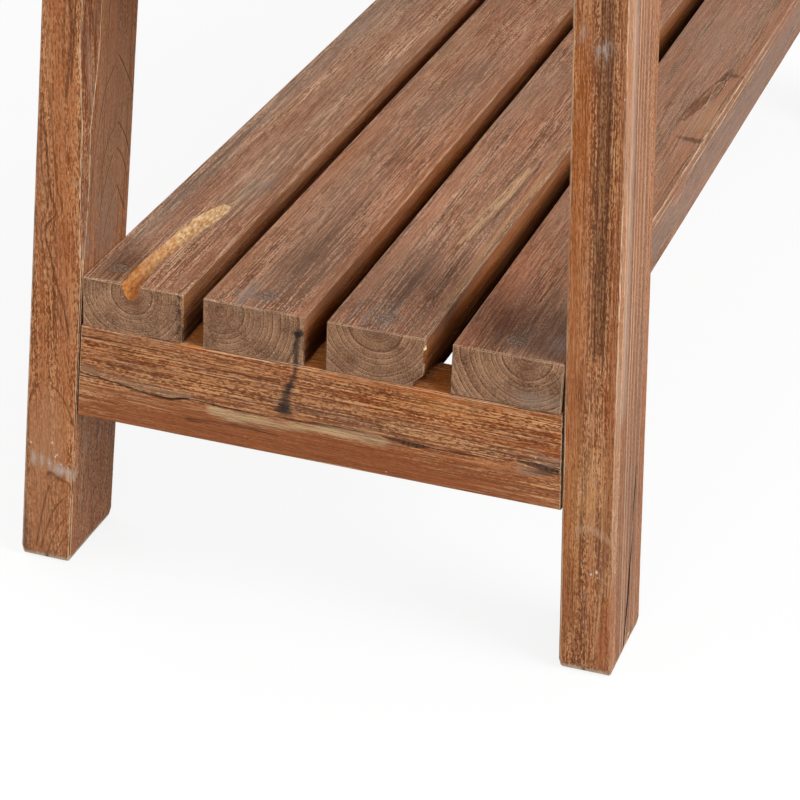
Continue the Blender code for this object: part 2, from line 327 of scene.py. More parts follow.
@dataclass(frozen=True)
class Teak(Finish):
    """Reclaimed teak, sawn, sanded and oiled.

    It gives the eye a satin orange-brown with ring figure, short pores both dark and pale, the pale ones
    painted highlights, a rest of grey weathered film, rubbed pale arrises that also stand for painted
    highlights, and dark hollows and gap sides, which are grime at butt joints and otherwise painted shade.

    Attributes:
        heart: a point on the tree's centre line in millimetres, which may lie outside the board.
        grain: the centre line's direction.
        ring: the mean width of a growth ring in millimetres.
        pale, mid, dark, streak: sRGB tones from early wood to mineral streaks.
        warm: the tone of its redder bands.
        film: the weathered film's tone.
        bark: the tone of a missing or rounded corner.
        flank: the tone of its sides in a gap, above the painted shade that darkens them towards the bottom.
        deep: how far down in a gap that painted shade starts, as a share of the board's height.
        grey: how much of the weathered film is left.
        figure: how strongly the rings show.
        streaks: how much of the board is streaked dark.
        fleck: how strongly open dark pores show.
        pore: how much longer than usual the pores are cut.
        gold: how strongly pale pores show, which are painted highlights where cut vessels catch the light.
        lines: how strongly fine dark lines run along the grain.
        grit: how strongly the sanded fibres speckle the faces.
        rub: how pale the arrises are rubbed, which also paints highlights on them.
        sway: how far the rings wander, in millimetres.
        end_pale, end_dark: tones of the end grain.
        seed: shifts every pattern.
        stains: marks and veins of this board.
    """

    heart: Point
    grain: Point
    ring: float = 3.0
    pale: str = "#DA9C68"
    mid: str = "#B0683A"
    dark: str = "#723B18"
    streak: str = "#3C1C08"
    warm: str = "#A9592A"
    film: str = "#A08068"
    bark: str = "#8A5638"
    flank: str = "#7A4A22"
    deep: float = 0.25
    grey: float = 0.16
    figure: float = 0.24
    streaks: float = 0.3
    fleck: float = 0.5
    pore: float = 1.4
    gold: float = 0.6
    lines: float = 0.20
    grit: float = 0.36
    rub: float = 0.9
    sway: float = 4.0
    end_pale: str = "#D0A17C"
    end_dark: str = "#4E2C18"
    seed: float = 0.0
    stains: tuple[Mark | Vein, ...] = ()

    def material(self) -> bpy.types.Material:
        """Give the finish as a material of this board alone."""
        return new_material(f"oiled_teak_{self.name}", self.shade)

    def shade(self, add: Add) -> Socket:
        """Layer faces, ends, stains, wear, painted light and shade on Object coordinates about the board's
        heart.

        Args:
            add: adds a node.

        Returns:
            The shader.
        """
        grain = self.patterns(add)
        faces = self.long_grain(add, grain)
        colour = add("Mix", {0: grain["cap"], 6: faces, 7: self.end_grain(add, grain, faces)}, **RGBA)
        torn = add("Math", {0: grain["streak"], 1: grain["fleck"]}, operation="ADD")
        torn = add("MapRange", {0: torn, 1: 0.7, 2: 1.3, 3: -1.0, 4: 1.0})
        for stain in self.stains:
            cover = stain.cover(add, grain["place"], torn)
            colour = add("Mix", {0: cover, 6: colour, 7: linear(stain.colour)}, **RGBA)
        rough = add("MapRange", {0: grain["streak"], 1: 0.3, 2: 0.7, 3: 0.50, 4: 0.64})
        rough = add("Math", {0: grain["cap"], 1: 0.16, 2: rough}, operation="MULTIPLY_ADD")
        # The sides of a gap are raw and dull.
        gloss = add("MapRange", {0: grain["flank"], 1: 0.0, 2: 0.3, 3: 0.22, 4: 0.0})
        height = add("Math", {0: grain["fleck"], 1: 0.8}, operation="MULTIPLY")
        for name, weight in (("streak", 0.7), ("line", 0.5), ("grit", 0.5), ("rings", -0.25)):
            height = add("Math", {0: grain[name], 1: weight, 2: height}, operation="MULTIPLY_ADD")
        return add("BsdfPrincipled", {
            "Base Color": self.worn(add, grain, colour), "Roughness": rough, "IOR": 1.42,
            "Specular IOR Level": gloss,
            "Normal": add("Bump", {"Height": height, "Strength": 1.0, "Distance": 1.0 * MM}),
        })

    def patterns(self, add: Add) -> dict[str, Socket]:
        """Lay out the coordinates, the noises, the growth rings and the wear.

        Args:
            add: adds a node.

        Returns:
            Sockets by name: place, shifted, season, rings, each noise of GRAIN and each attribute of WEAR_AND_SHADE.
        """
        place = add("TexCoord", out="Object")
        turn = Vector(self.grain).to_track_quat("X", "Z").to_euler()
        heart = add("Mapping", {0: place, "Location": [MM * v for v in self.heart], "Rotation": turn},
                    vector_type="TEXTURE")
        offset = (self.seed, 1.7 * self.seed, 2.3 * self.seed)
        shifted = add("VectorMath", {0: heart, 1: offset}, operation="ADD")
        sockets = {name: add("Attribute", out="Fac", attribute_name=name) for name in WEAR_AND_SHADE}
        sockets |= {"place": place, "shifted": shifted}
        for name, (along, across, detail, rough) in GRAIN.items():
            if name == "fleck":
                along *= self.pore
            scale = (1 / along, 1 / across, 1 / across)
            scaled = add("VectorMath", {0: shifted, 1: scale}, operation="MULTIPLY")
            sockets[name] = add(
                "TexNoise", {"Vector": scaled, "Scale": 1.0, "Detail": detail, "Roughness": rough})
        wander = sockets["wander"].node.outputs["Color"]
        drift = add("VectorMath", {0: wander, 1: (0.5, 0.5, 0.5)}, operation="SUBTRACT")
        reach = (0.0, 2 * MM * self.sway, 2 * MM * self.sway)
        swayed = add("VectorMath", {0: drift, 1: reach, 2: heart}, operation="MULTIPLY_ADD")
        across = add("VectorMath", {0: swayed, 1: (0.0, 1.0, 1.0)}, operation="MULTIPLY")
        radius = add("VectorMath", {0: across}, "Value", operation="LENGTH")
        years = add("Math", {0: radius, 1: MM * self.ring}, operation="DIVIDE")
        # Wet and dry years: rings differ in width from one to the next.
        weather = add("TexNoise", {"W": years, "Scale": 0.45, "Detail": 1.0}, noise_dimensions="1D")
        years = add("Math", {0: weather, 1: 3.0, 2: years}, operation="MULTIPLY_ADD")
        sockets["season"] = add("Math", {0: years}, operation="FRACT")
        ramp = add("ValToRGB", {0: sockets["season"]})
        stops = ramp.node.color_ramp.elements
        stops[0].color, stops[1].color = (0.30, 0.30, 0.30, 1.0), (0.30, 0.30, 0.30, 1.0)
        for stop, value in ((0.08, 0.06), (0.55, 0.16), (0.82, 0.42), (0.93, 1.0)):
            stops.new(stop).color = (value, value, value, 1.0)
        sockets["rings"] = add("RGBToBW", {0: ramp})
        return sockets

    def layered(self, add: Add, colour: Socket, layers: tuple[Layer, ...]) -> Socket:
        """Lay tones over a colour.

        Args:
            add: adds a node.
            colour: the colour below.
            layers: the tones and where they show, from the lowest up.

        Returns:
            The colour with all of them on it.
        """
        for pattern, start, stop, most, breaks, tone in layers:
            cover = add("MapRange", {0: pattern, 1: start, 2: stop, 3: 0.0, 4: most})
            for factor in breaks:
                cover = add("Math", {0: cover, 1: factor}, operation="MULTIPLY")
            colour = add("Mix", {0: cover, 6: colour, 7: linear(tone)}, **RGBA)
        return colour

    def long_grain(self, add: Add, grain: dict[str, Socket]) -> Socket:
        """Colour the faces that run along the grain.

        Args:
            add: adds a node.
            grain: the pattern sockets.

        Returns:
            The colour.
        """
        shown = add("MapRange", {0: grain["patch"], 1: 0.35, 2: 0.65, 3: 0.3 * self.figure, 4: self.figure})
        tone = add("Math", {0: grain["rings"], 1: shown, 2: 0.44}, operation="MULTIPLY_ADD")
        for name, half, reach in (("streak", 0.12, 0.22), ("band", 0.20, 0.22), ("patch", 0.18, 0.22),
                                  ("line", self.lines, 0.08), ("grit", self.grit, 0.07)):
            part = add("MapRange", {0: grain[name], 1: 0.5 - reach, 2: 0.5 + reach, 3: -half, 4: half})
            tone = add("Math", {0: tone, 1: part}, operation="ADD")
        ramp = add("ValToRGB", {0: tone})
        stops = ramp.node.color_ramp.elements
        stops[0].position, stops[0].color = 0.14, linear(self.pale)
        stops[1].position, stops[1].color = 0.86, linear(self.dark)
        stops.new(0.50).color = linear(self.mid)
        edge = 0.72 - 0.25 * self.streaks
        broken = add("MapRange", {0: grain["streak"], 1: 0.32, 2: 0.55})
        fine = add("MapRange", {0: grain["line"], 1: 0.3, 2: 0.6, 3: 0.5, 4: 1.0})
        combed = add("MapRange", {0: grain["line"], 1: 0.40, 2: 0.60, 3: 0.25, 4: 0.85})
        return self.layered(add, ramp, (
            # Redder heartwood in long bands, and dark mineral streaks.
            (grain["band"], 0.58, 0.38, 0.55, (), self.warm),
            (grain["band"], edge, edge + 0.13, 0.8, (broken,), self.streak),
            # Short pores: dark where they lie open; pale gold flecks are painted highlights, where a cut
            # vessel catches the light.
            (grain["fleck"], 0.46, 0.37, self.fleck, (), self.streak),
            (grain["fleck"], 0.55, 0.64, self.gold, (broken,), GOLD_GLINT),
            # The last of the grey weathered film, in patches, and the bark edge.
            (grain["wander"], 0.38, 0.64, 1.6 * self.grey, (fine,), self.film),
            (grain["bark"], 0.0, 1.0, 1.0, (combed,), self.bark),
        ))

    def end_grain(self, add: Add, grain: dict[str, Socket], colour: Socket) -> Socket:
        """Colour the sawn ends: rings as arcs, weathered patches and open vessels.

        Args:
            add: adds a node.
            grain: the pattern sockets.
            colour: the colour of the faces along the grain.

        Returns:
            The colour.
        """
        blotch, vessel = (
            add("TexNoise", {"Vector": grain["shifted"], "Scale": 1 / (size * MM), "Detail": detail,
                             "Roughness": rough})
            for size, detail, rough in ((13, 5.0, 0.66), (0.9, 2.0, 0.7)))
        # Every ring starts pale and ends in a dark line; some stand out more than others.
        arcs = add("ValToRGB", {0: grain["season"]})
        stops = arcs.node.color_ramp.elements
        for stop, value in zip(stops, (0.25, 0.75)):
            stop.color = (value, value, value, 1.0)
        for stop, value in ((0.10, 0.0), (0.22, 0.42), (0.80, 0.58), (0.93, 1.0)):
            stops.new(stop).color = (value, value, value, 1.0)
        arcs = add("Math", {0: arcs, 1: 0.5}, operation="SUBTRACT")
        chosen = add("MapRange", {0: blotch, 1: 0.38, 2: 0.62, 3: 1.1, 4: 0.35})
        arcs = add("Math", {0: arcs, 1: chosen}, operation="MULTIPLY")
        tone = add("MapRange", {0: blotch, 1: 0.32, 2: 0.68, 3: 0.28, 4: 0.80})
        tone = add("Math", {0: tone, 1: arcs}, operation="ADD")
        speck = add("MapRange", {0: vessel, 1: 0.38, 2: 0.62, 3: -0.24, 4: 0.24})
        tone = add("Math", {0: tone, 1: speck}, operation="ADD", use_clamp=True)
        sawn = add("Mix", {0: tone, 6: linear(self.end_pale), 7: linear(self.end_dark)}, **RGBA)
        return add("Mix", {0: 0.80, 6: colour, 7: sawn}, **RGBA)

    def worn(self, add: Add, grain: dict[str, Socket], colour: Socket) -> Socket:
        """Rub the arrises pale, partly as painted highlights, paint shade into creases and down gap sides,
        darken butt joints with grime, and leave dust in a few pores.

        Args:
            add: adds a node.
            grain: the pattern sockets.
            colour: the colour so far.

        Returns:
            The colour.
        """
        lumpy = add("MapRange", {0: grain["streak"], 1: 0.35, 2: 0.65, 3: 0.75, 4: 1.1})
        broken = add("MapRange", {0: grain["patch"], 1: 0.36, 2: 0.56, 3: 0.15, 4: 0.95})
        nibbled = add("MapRange", {0: grain["fleck"], 1: 0.35, 2: 0.55, 3: 0.2, 4: 1.0})
        cells = add("TexVoronoi", {"Vector": grain["shifted"], "Scale": 1 / (6 * MM)})
        pick = add("SeparateColor", {0: cells.node.outputs["Color"]})
        pick = add("MapRange", {0: pick, 1: 0.87, 2: 0.89})
        return self.layered(add, colour, (
            # Sides in a gap: their own tone near the top, then painted shade that darkens them towards the
            # bottom.
            (grain["flank"], 0.0, 0.06, 0.75, (lumpy,), self.flank),
            (grain["flank"], self.deep, 0.9, 0.95, (lumpy,), GAP_SHADE),
            # Rubbed arrises, whose pale lines also stand for painted highlights.
            (grain["arris"], 0.35, 0.85, self.rub, (broken, nibbled), RUBBED_AND_HIGHLIT),
            # Concave edges go near black: grime where boards butt, painted shade in creases.
            (grain["hollow"], 0.0, 1.0, 0.85, (), GRIME_AND_SHADE),
            (cells, 0.09, 0.04, 0.75, (pick,), DUST),
        ))


@dataclass(frozen=True)
class TornWood(Finish):
    """Wood that is split, torn or eaten open: matt, lumpy and darker or fresher than the faces.

    Attributes:
        pale, dark: its sRGB tones.
        lump: the size of its lumps in millimetres.
        along: how much longer they are along x.
        flush: the tone that tints it towards the bench's end.
        tinted: from where to where along x the tint grows, in millimetres.
    """

    pale: str
    dark: str
    lump: float = 1.5
    along: float = 1.0
    flush: str = ""
    tinted: tuple[float, float] = (-395.0, -470.0)

    def shade(self, add: Add) -> Socket:
        """Add the finish's nodes.

        Args:
            add: adds a node.

        Returns:
            The shader.
        """
        place = add("TexCoord", out="Object")
        size = MM * self.lump
        scale = (1 / (size * self.along), 1 / size, 1 / size)
        scaled = add("VectorMath", {0: place, 1: scale}, operation="MULTIPLY")
        lumps = add("TexNoise", {"Vector": scaled, "Scale": 1.0, "Detail": 4.0, "Roughness": 0.65})
        share = add("MapRange", {0: lumps, 1: 0.35, 2: 0.65})
        colour = add("Mix", {0: share, 6: linear(self.dark), 7: linear(self.pale)}, **RGBA)
        if self.flush:
            start, stop = self.tinted
            reach = add("SeparateXYZ", {0: place})
            reach = add("MapRange", {0: reach, 1: start * MM, 2: stop * MM})
            colour = add("Mix", {0: reach, 6: colour, 7: linear(self.flush)}, **RGBA, blend_type="MULTIPLY")
        bump = add("Bump", {"Height": lumps, "Strength": 0.6, "Distance": 0.5 * size})
        return add("BsdfPrincipled", {"Base Color": colour, "Roughness": 0.8, "Normal": bump})


CHECK = TornWood("weathered_check", "#3A2010", "#120804", 1.2)
KNOT = TornWood("dead_knot", "#7A5238", "#3C2415", 1.6, 3.0)
STRAW = TornWood("worm_channel", "#FFECBE", "#D2863C", 1.7, 2.6, "#E2B472")
SPLIT = TornWood("fresh_split", "#B06C2A", "#542A0C", 1.0, 4.0)
FIBRE = TornWood("raised_fibres", "#FFEDC4", "#C8924E", 0.8, 4.0)


@dataclass(frozen=True)
class SawdustFiller(Finish):
    """Glue and sawdust pressed into a screw hole: grey-brown, grainy and matt."""

    name: str = "sawdust_filler"

    def shade(self, add: Add) -> Socket:
        """Add the finish's nodes.

        Args:
            add: adds a node.

        Returns:
            The shader.
        """
        place = add("TexCoord", out="Object")
        grit = add("TexNoise", {"Vector": place, "Scale": 1 / (0.7 * MM), "Detail": 2.0, "Roughness": 0.7})
        ramp = add("ValToRGB", {0: grit})
        stops = ramp.node.color_ramp.elements
        stops[0].position, stops[0].color = 0.36, linear("#4E3628")
        stops[1].position, stops[1].color = 0.64, linear("#BCA490")
        stops.new(0.5).color = linear("#84644E")
        bump = add("Bump", {"Height": grit, "Strength": 0.8, "Distance": 0.5 * MM})
        return add("BsdfPrincipled", {"Base Color": ramp, "Roughness": 0.75, "Normal": bump})


@dataclass(frozen=True)
class ZincSteel(Finish):
    """Zinc-plated steel screw: cool grey metal with a faint cloudy passivation."""

    name: str = "zinc_plated_steel"

    def shade(self, add: Add) -> Socket:
        """Add the finish's nodes.

        Args:
            add: adds a node.

        Returns:
            The shader.
        """
        place = add("TexCoord", out="Object")
        cloud = add("TexNoise", {"Vector": place, "Scale": 1 / (3 * MM), "Detail": 2.0})
        colour = add("Mix", {0: cloud, 6: linear("#A9AEB2"), 7: linear("#C9CCC8")}, **RGBA)
        rough = add("MapRange", {0: cloud, 3: 0.28, 4: 0.42})
        return add("BsdfPrincipled", {"Base Color": colour, "Roughness": rough, "Metallic": 1.0})


def deselect() -> None:
    """Leave edit mode and deselect everything."""
    if bpy.context.object and bpy.context.object.mode != "OBJECT":
        bpy.ops.object.mode_set(mode="OBJECT")
    bpy.ops.object.select_all(action="DESELECT")


def activate(piece: bpy.types.Object) -> None:
    """Make a piece the only selected and active one.

    Args:
        piece: the piece.
    """
    deselect()
    piece.select_set(True)
    bpy.context.view_layer.objects.active = piece


def pick_edges(piece: bpy.types.Object, wanted: Callable[[Vector, Vector], bool]) -> None:
    """Select edges of a piece in edit mode.

    Args:
        piece: the piece that is being edited.
        wanted: says of an edge's two ends whether it is selected.
    """
    bpy.ops.mesh.select_mode(type="EDGE")
    bpy.ops.mesh.select_all(action="DESELECT")
    bm = bmesh.from_edit_mesh(piece.data)
    for edge in bm.edges:
        if wanted(edge.verts[0].co, edge.verts[1].co):
            edge.select_set(True)
    bmesh.update_edit_mesh(piece.data)


def loft(name: str, sections: list[list[Vector]]) -> bpy.types.Object:
    """Skin a row of sections into a closed cutting tool.

    Args:
        name: the tool's name.
        sections: rings of points, all of one length.

    Returns:
        The tool.
    """
    bm = bmesh.new()
    rings = [[bm.verts.new(point) for point in section] for section in sections]
    count = len(rings[0])
    for ring, after in zip(rings, rings[1:]):
        for place in range(count):
            step = (place + 1) % count
            bm.faces.new((ring[place], ring[step], after[step], after[place]))
    bm.faces.new(rings[0][::-1])
    bm.faces.new(rings[-1])
    bmesh.ops.recalc_face_normals(bm, faces=bm.faces)
    mesh = bpy.data.meshes.new(name)
    bm.to_mesh(mesh)
    bm.free()
    tool = bpy.data.objects.new(name, mesh)
    bpy.context.scene.collection.objects.link(tool)
    return tool


@dataclass(frozen=True)
class Gouge:
    """A check, slit or channel that is cut into a face along a course, in millimetres of the frame.

    Attributes:
        course: rows of x, y, z on the face, width and depth.
        out: the face's outward direction.
        lining: what its walls look like.
        rounded: a round bottom instead of a sharp one.
        jitter: how far it wavers.
        uneven: by what share its width and depth vary.
    """

    course: tuple[tuple[float, float, float, float, float], ...]
    out: Point
    lining: TornWood | None = CHECK
    rounded: bool = False
    jitter: float = 0.4
    uneven: float = 0.25

    def tool(self) -> bpy.types.Object:
        """Make its cutting tool.

        Returns:
            The tool.
        """
        out = Vector(self.out).normalized()
        parts = 8 if self.rounded else 2
        turns = [math.pi * part / parts for part in range(parts + 1)]
        sections = []
        travelled = 0.0
        for row, after in zip(self.course, self.course[1:]):
            start, end = Vector(row[:3]), Vector(after[:3])
            length = (end - start).length
            aside = (end - start).normalized().cross(out)
            steps = max(2, round(length / 2.5))
            for step in range(steps + (after is self.course[-1])):
                share = step / steps
                spot = start.lerp(end, share)
                sample = Vector((0.13 * (travelled + share * length), self.course[0][1], self.course[0][2]))
                spot += aside * self.jitter * noise.noise(sample)
                width, depth = (
                    (a + share * (b - a)) * (1 + self.uneven * noise.noise(pace * sample))
                    for a, b, pace in ((row[3], after[3], 1.6), (row[4], after[4], 1.3)))
                lip = [(0.5 * width, 2.0), (-0.5 * width, 2.0)]
                floor = [(-0.5 * width * math.cos(turn), -depth * math.sin(turn)) for turn in turns]
                sections.append([MM * (spot + aside * u + out * v) for u, v in lip + floor])
            travelled += length
        return loft("gouge", sections)


@dataclass(frozen=True)
class Chip:
    """A lump that is knocked out of a face or an edge, in millimetres of the frame.

    Attributes:
        place: its middle.
        reach: its half lengths along x, y and z.
        lining: what its walls look like.
        turn: its rotation in degrees.
    """

    place: Point
    reach: Point
    lining: TornWood | None = CHECK
    turn: Point = (0.0, 0.0, 0.0)

    def tool(self) -> bpy.types.Object:
        """Make its cutting tool.

        Returns:
            The tool.
        """
        deselect()
        bpy.ops.mesh.primitive_ico_sphere_add(subdivisions=4, radius=1.0)
        tool = bpy.context.object
        for vertex in tool.data.vertices:
            vertex.co *= 1 + 0.35 * noise.noise(2.2 * vertex.co + Vector(self.place))
        tool.scale = [MM * v for v in self.reach]
        tool.rotation_euler = [math.radians(v) for v in self.turn]
        tool.location = [MM * v for v in self.place]
        bpy.ops.object.transform_apply(location=True, rotation=True, scale=True)
        return tool


@dataclass(frozen=True)
class Frame:
    """Sizes of the splayed end frames that the CAD boxes don't give by themselves."""

    splay: float = math.tan(math.radians(2.98))
    leg_width: float = 30.7 * MM / math.cos(math.radians(2.98))
    end_face: float = 470.0 * MM
    leg_depth: float = 62.4 * MM
    shelf_top: float = 188.0 * MM
    inner_at_shelf: float = 139.8 * MM

    def inner_face(self, z: float) -> float:
        """Distance of the legs' inner faces from the middle plane at a height."""
        return self.inner_at_shelf + self.splay * (self.shelf_top - z)


FRAME = Frame()


@dataclass(frozen=True)
class Wane:
    """A leg's corner at the photographed end that is missing because the log was round there.

    Attributes:
        side: which leg.
        inner: the corner next to the shelf, or the outer one.
        rows: height, missing width on the end face and missing width on the long face, in millimetres.
    """

    side: Side
    inner: bool
    rows: tuple[tuple[float, float, float], ...]
    lining: None = None

    def tool(self) -> bpy.types.Object:
        """Make its cutting tool.

        Returns:
            The tool.
        """
        into = self.side.value * (1 if self.inner else -1)
        sections = []
        for row, after in zip(self.rows, self.rows[1:]):
            steps = max(2, round((after[0] - row[0]) / 4))
            for step in range(steps + (after is self.rows[-1])):
                share = step / steps
                z, end_cut, face_cut = (MM * (a + share * (b - a)) for a, b in zip(row, after))
                reach = FRAME.inner_face(z) + (0 if self.inner else FRAME.leg_width)
                shake = 0.5 * MM * noise.noise(Vector((110 * z, 0.0, 3.0 * into)))
                corner = Vector((-FRAME.end_face, self.side.value * reach, z))
                first = corner + Vector((0.0, into * max(0.1 * MM, end_cut + shake), 0.0))
                second = corner + Vector((max(0.1 * MM, face_cut + shake), 0.0, 0.0))
                slope = second - first
                bulge = 0.04 * Vector((-slope.y * into, slope.x * into, 0.0))
                inner = [first + part * slope - lift * bulge
                         for part, lift in ((0.1, 0.5), (0.5, 1.0), (0.9, 0.5))]
                sections.append([
                    first - 0.8 * slope, *inner, second + 0.8 * slope,
                    corner + Vector((-9 * MM, -9 * MM * into, 0.0)),
                ])
        return loft("wane", sections)


@dataclass(frozen=True)
class Plug:
    """The filler over one countersunk screw, in a pocket whose wall is bare teak.

    Attributes:
        node: the CAD node that it stands for.
        lining: none, since the wall shows the slat's own teak.
        sides: the sides of its round.
        thick: its height.
        sunk: how far it lies under the slat's face.
        pocket: the height of the tool that cuts its pocket.
        spare: how much wider the pocket is.
        lumps: how far its top is uneven.
    """

    node: str
    lining: None = None
    sides: int = 40
    thick: float = 2.0 * MM
    sunk: float = 0.05 * MM
    pocket: float = 4.5 * MM
    spare: float = 0.02 * MM
    lumps: float = 0.22 * MM

    def middle(self) -> Vector:
        """Centre of the filler's top."""
        low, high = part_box(self.node)
        return Vector(((low.x + high.x) / 2, (low.y + high.y) / 2, high.z))

    def radius(self) -> float:
        """Radius of the filler."""
        low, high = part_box(self.node)
        return (high.x - low.x) / 2

    def tool(self) -> bpy.types.Object:
        """Make the tool that cuts its pocket into the slat.

        Returns:
            The tool.
        """
        deselect()
        bpy.ops.mesh.primitive_cylinder_add(
            vertices=self.sides, radius=self.radius() + self.spare, depth=self.pocket, location=self.middle(),
        )
        bpy.ops.object.transform_apply(location=True, rotation=True, scale=True)
        return bpy.context.object

    def build(self) -> None:
        """Model the plug: a disc with a soft rim and a lumpy top."""
        deselect()
        top = self.middle() - Vector((0.0, 0.0, self.sunk))
        bpy.ops.mesh.primitive_cylinder_add(
            vertices=self.sides, radius=self.radius(), depth=self.thick,
            location=top - Vector((0.0, 0.0, self.thick / 2)),
        )
        piece = bpy.context.object
        piece.name = f"plug_{self.node}"
        bpy.ops.object.transform_apply(location=True, rotation=True, scale=True)
        bpy.ops.object.mode_set(mode="EDIT")
        bpy.ops.mesh.select_mode(type="FACE")
        bpy.ops.mesh.select_all(action="DESELECT")
        bm = bmesh.from_edit_mesh(piece.data)
        for face in bm.faces:
            face.select_set(face.normal.z > 0.9)
        bmesh.update_edit_mesh(piece.data)
        for step in (0.4, 1.1, 1.3, 1.3):
            bpy.ops.mesh.inset(thickness=step * MM)
        bpy.ops.object.mode_set(mode="OBJECT")
        for vertex in piece.data.vertices:
            if vertex.co.z > top.z - 0.1 * MM:
                vertex.co.z += self.lumps * noise.noise(vertex.co / (3.5 * MM))
        piece.data.materials.append(SawdustFiller().material())
        bpy.ops.object.shade_smooth_by_angle(angle=math.radians(40))
        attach(piece, BODY)
        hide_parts(self.node)
        LOG.info("%s", piece.name)


@dataclass
class Board:
    """One sawn board, modelled again over its CAD node.

    Attributes:
        node: the CAD node that it stands for.
        slot: the name of its material slot; not used.
        axis: the way its grain runs.
        low, high: the corners of the straight board.
        finish: its teak.
        pitch: the spacing of its mesh along the grain.
        across: the spacing of its mesh across the grain.
        arris: how far the worn edge reaches into the faces.
        square: how sharp the edge is left, from 0.5 for round to 1 for square.
        wear: how far the wear eats into an edge.
        warp: how far its faces swell and dip.
        gaps: the signs of y on whose sides the board faces a narrow gap, where shade is painted down its
            side.
        butted: its ends stand against the legs, so grime fills their edges.
        lean: moves a point of the straight board to its place.
        cuts: what is cut out of it.
    """

    node: str
    slot: str
    axis: Axis
    low: Vector
    high: Vector
    finish: Teak
    pitch: float = 4 * MM
    across: float = 3 * MM
    arris: float = 1.3 * MM
    square: float = 0.66
    wear: float = 0.9 * MM
    warp: float = 0.7 * MM
    gaps: tuple[int, ...] = ()
    butted: bool = False
    lean: Callable[[Vector], None] | None = None
    cuts: tuple[Gouge | Chip | Wane | Plug, ...] = ()

    def build(self) -> bpy.types.Object:
        """Model, weather and dress the board.

        Returns:
            The finished piece.
        """
        piece = self.blank()
        self.divide(piece)
        self.weather(piece)
        if self.lean:
            for vertex in piece.data.vertices:
                self.lean(vertex.co)
        piece.data.materials.append(self.finish.material())
        self.cut(piece)
        activate(piece)
        bpy.ops.object.shade_smooth_by_angle(angle=math.radians(35))
        self.note_wear_and_shade(piece)
        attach(piece, BODY)
        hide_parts(self.node)
        LOG.info("%s: %d faces", piece.name, len(piece.data.polygons))
        return piece

    def blank(self) -> bpy.types.Object:
        """Saw the board: a cube at its size and place, with softened edges.

        Returns:
            The board, left in edit mode.
        """
        deselect()
        bpy.ops.mesh.primitive_cube_add(size=1.0, location=(self.low + self.high) / 2)
        piece = bpy.context.object
        piece.name = f"teak_{self.node}"
        piece.scale = self.high - self.low
        bpy.ops.object.transform_apply(location=True, rotation=True, scale=True)
        bpy.ops.object.mode_set(mode="EDIT")
        bpy.ops.mesh.select_all(action="SELECT")
        bpy.ops.mesh.bevel(offset=self.arris, segments=5, profile=self.square, affect="EDGES")
        return piece

    def divide(self, piece: bpy.types.Object) -> None:
        """Divide the flat faces finely enough for wear to show, and leave edit mode.

        Args:
            piece: the board in edit mode.
        """
        for axis in Axis:
            spacing = self.pitch if axis is self.axis else self.across
            span = (self.high - self.low)[axis.value]
            least = 0.5 * (span - 2 * self.arris)
            pick_edges(piece, lambda a, b: abs(a[axis.value] - b[axis.value]) > least)
            bpy.ops.mesh.subdivide(number_cuts=max(1, round(span / spacing)))
        bpy.ops.object.mode_set(mode="OBJECT")

    def weather(self, piece: bpy.types.Object) -> None:
        """Let the faces swell and dip, and wear and nick the edges.

        Args:
            piece: the divided board.
        """
        edges = piece.vertex_groups.new(name="edges")
        band = 0.6 * self.arris
        chosen = []
        for vertex in piece.data.vertices:
            near = sum(
                min(vertex.co[i] - self.low[i], self.high[i] - vertex.co[i]) < band for i in range(3)
            )
            if near >= 2:
                chosen.append(vertex.index)
        edges.add(chosen, 1.0, "REPLACE")
        self.displace(piece, "swell", 45 * MM, 5.0, self.warp, 0.5)
        self.displace(piece, "sanded", 9 * MM, 4.0, 0.22 * MM, 0.5)
        self.displace(piece, "rubbed", 14 * MM, 4.0, self.wear, 0.80, "edges")
        self.displace(piece, "nicked", 6 * MM, 1.6, 0.5 * self.wear, 0.75, "edges", 1.6)

    def displace(self, piece: bpy.types.Object, name: str, grain_size: float, stretch: float,
                 strength: float, level: float, group: str = "", contrast: float = 1.0) -> None:
        """Apply a cloud displacement that is drawn out along the grain.

        Args:
            piece: the board.
            name: what the displacement stands for.
            grain_size: the size of the clouds across the grain.
            stretch: how much longer they are along it.
            strength: the height of the displacement.
            level: the cloud value that stays in place.
            group: the vertex group that moves, or all of them.
            contrast: how sharply the clouds stand out.
        """
        clouds = bpy.data.textures.new(f"{piece.name}_{name}", "CLOUDS")
        clouds.noise_scale = grain_size
        clouds.noise_depth = 2
        clouds.contrast = contrast
        guide = bpy.data.objects.new(f"{piece.name}_{name}", None)
        guide.location = (self.finish.seed, 0.37 * self.finish.seed, 0.11 * self.finish.seed)
        guide.scale = [stretch if axis is self.axis else 1.0 for axis in Axis]
        bpy.context.scene.collection.objects.link(guide)
        bpy.context.view_layer.update()
        activate(piece)
        step = piece.modifiers.new(name, "DISPLACE")
        step.texture = clouds
        step.texture_coords = "OBJECT"
        step.texture_coords_object = guide
        step.strength = strength
        step.mid_level = level
        step.vertex_group = group
        bpy.ops.object.modifier_apply(modifier=step.name)
        bpy.data.objects.remove(guide)

    def cut(self, piece: bpy.types.Object) -> None:
        """Cut the board's checks, chips, wane and pockets out of it.

        Args:
            piece: the weathered board.
        """
        for cut in self.cuts:
            tool = cut.tool()
            tool.data.materials.append(cut.lining.material() if cut.lining else piece.data.materials[0])
            activate(piece)
            step = piece.modifiers.new(tool.name, "BOOLEAN")
            step.operation = "DIFFERENCE"
            step.solver = "MANIFOLD"
            step.material_mode = "TRANSFER"
            step.object = tool
            before = len(piece.data.polygons)
            bpy.ops.object.modifier_apply(modifier=step.name)
            if len(piece.data.polygons) in (0, before):
                LOG.warning("%s: a cut of %s changed nothing", piece.name, type(cut).__name__)
            bpy.data.objects.remove(tool)

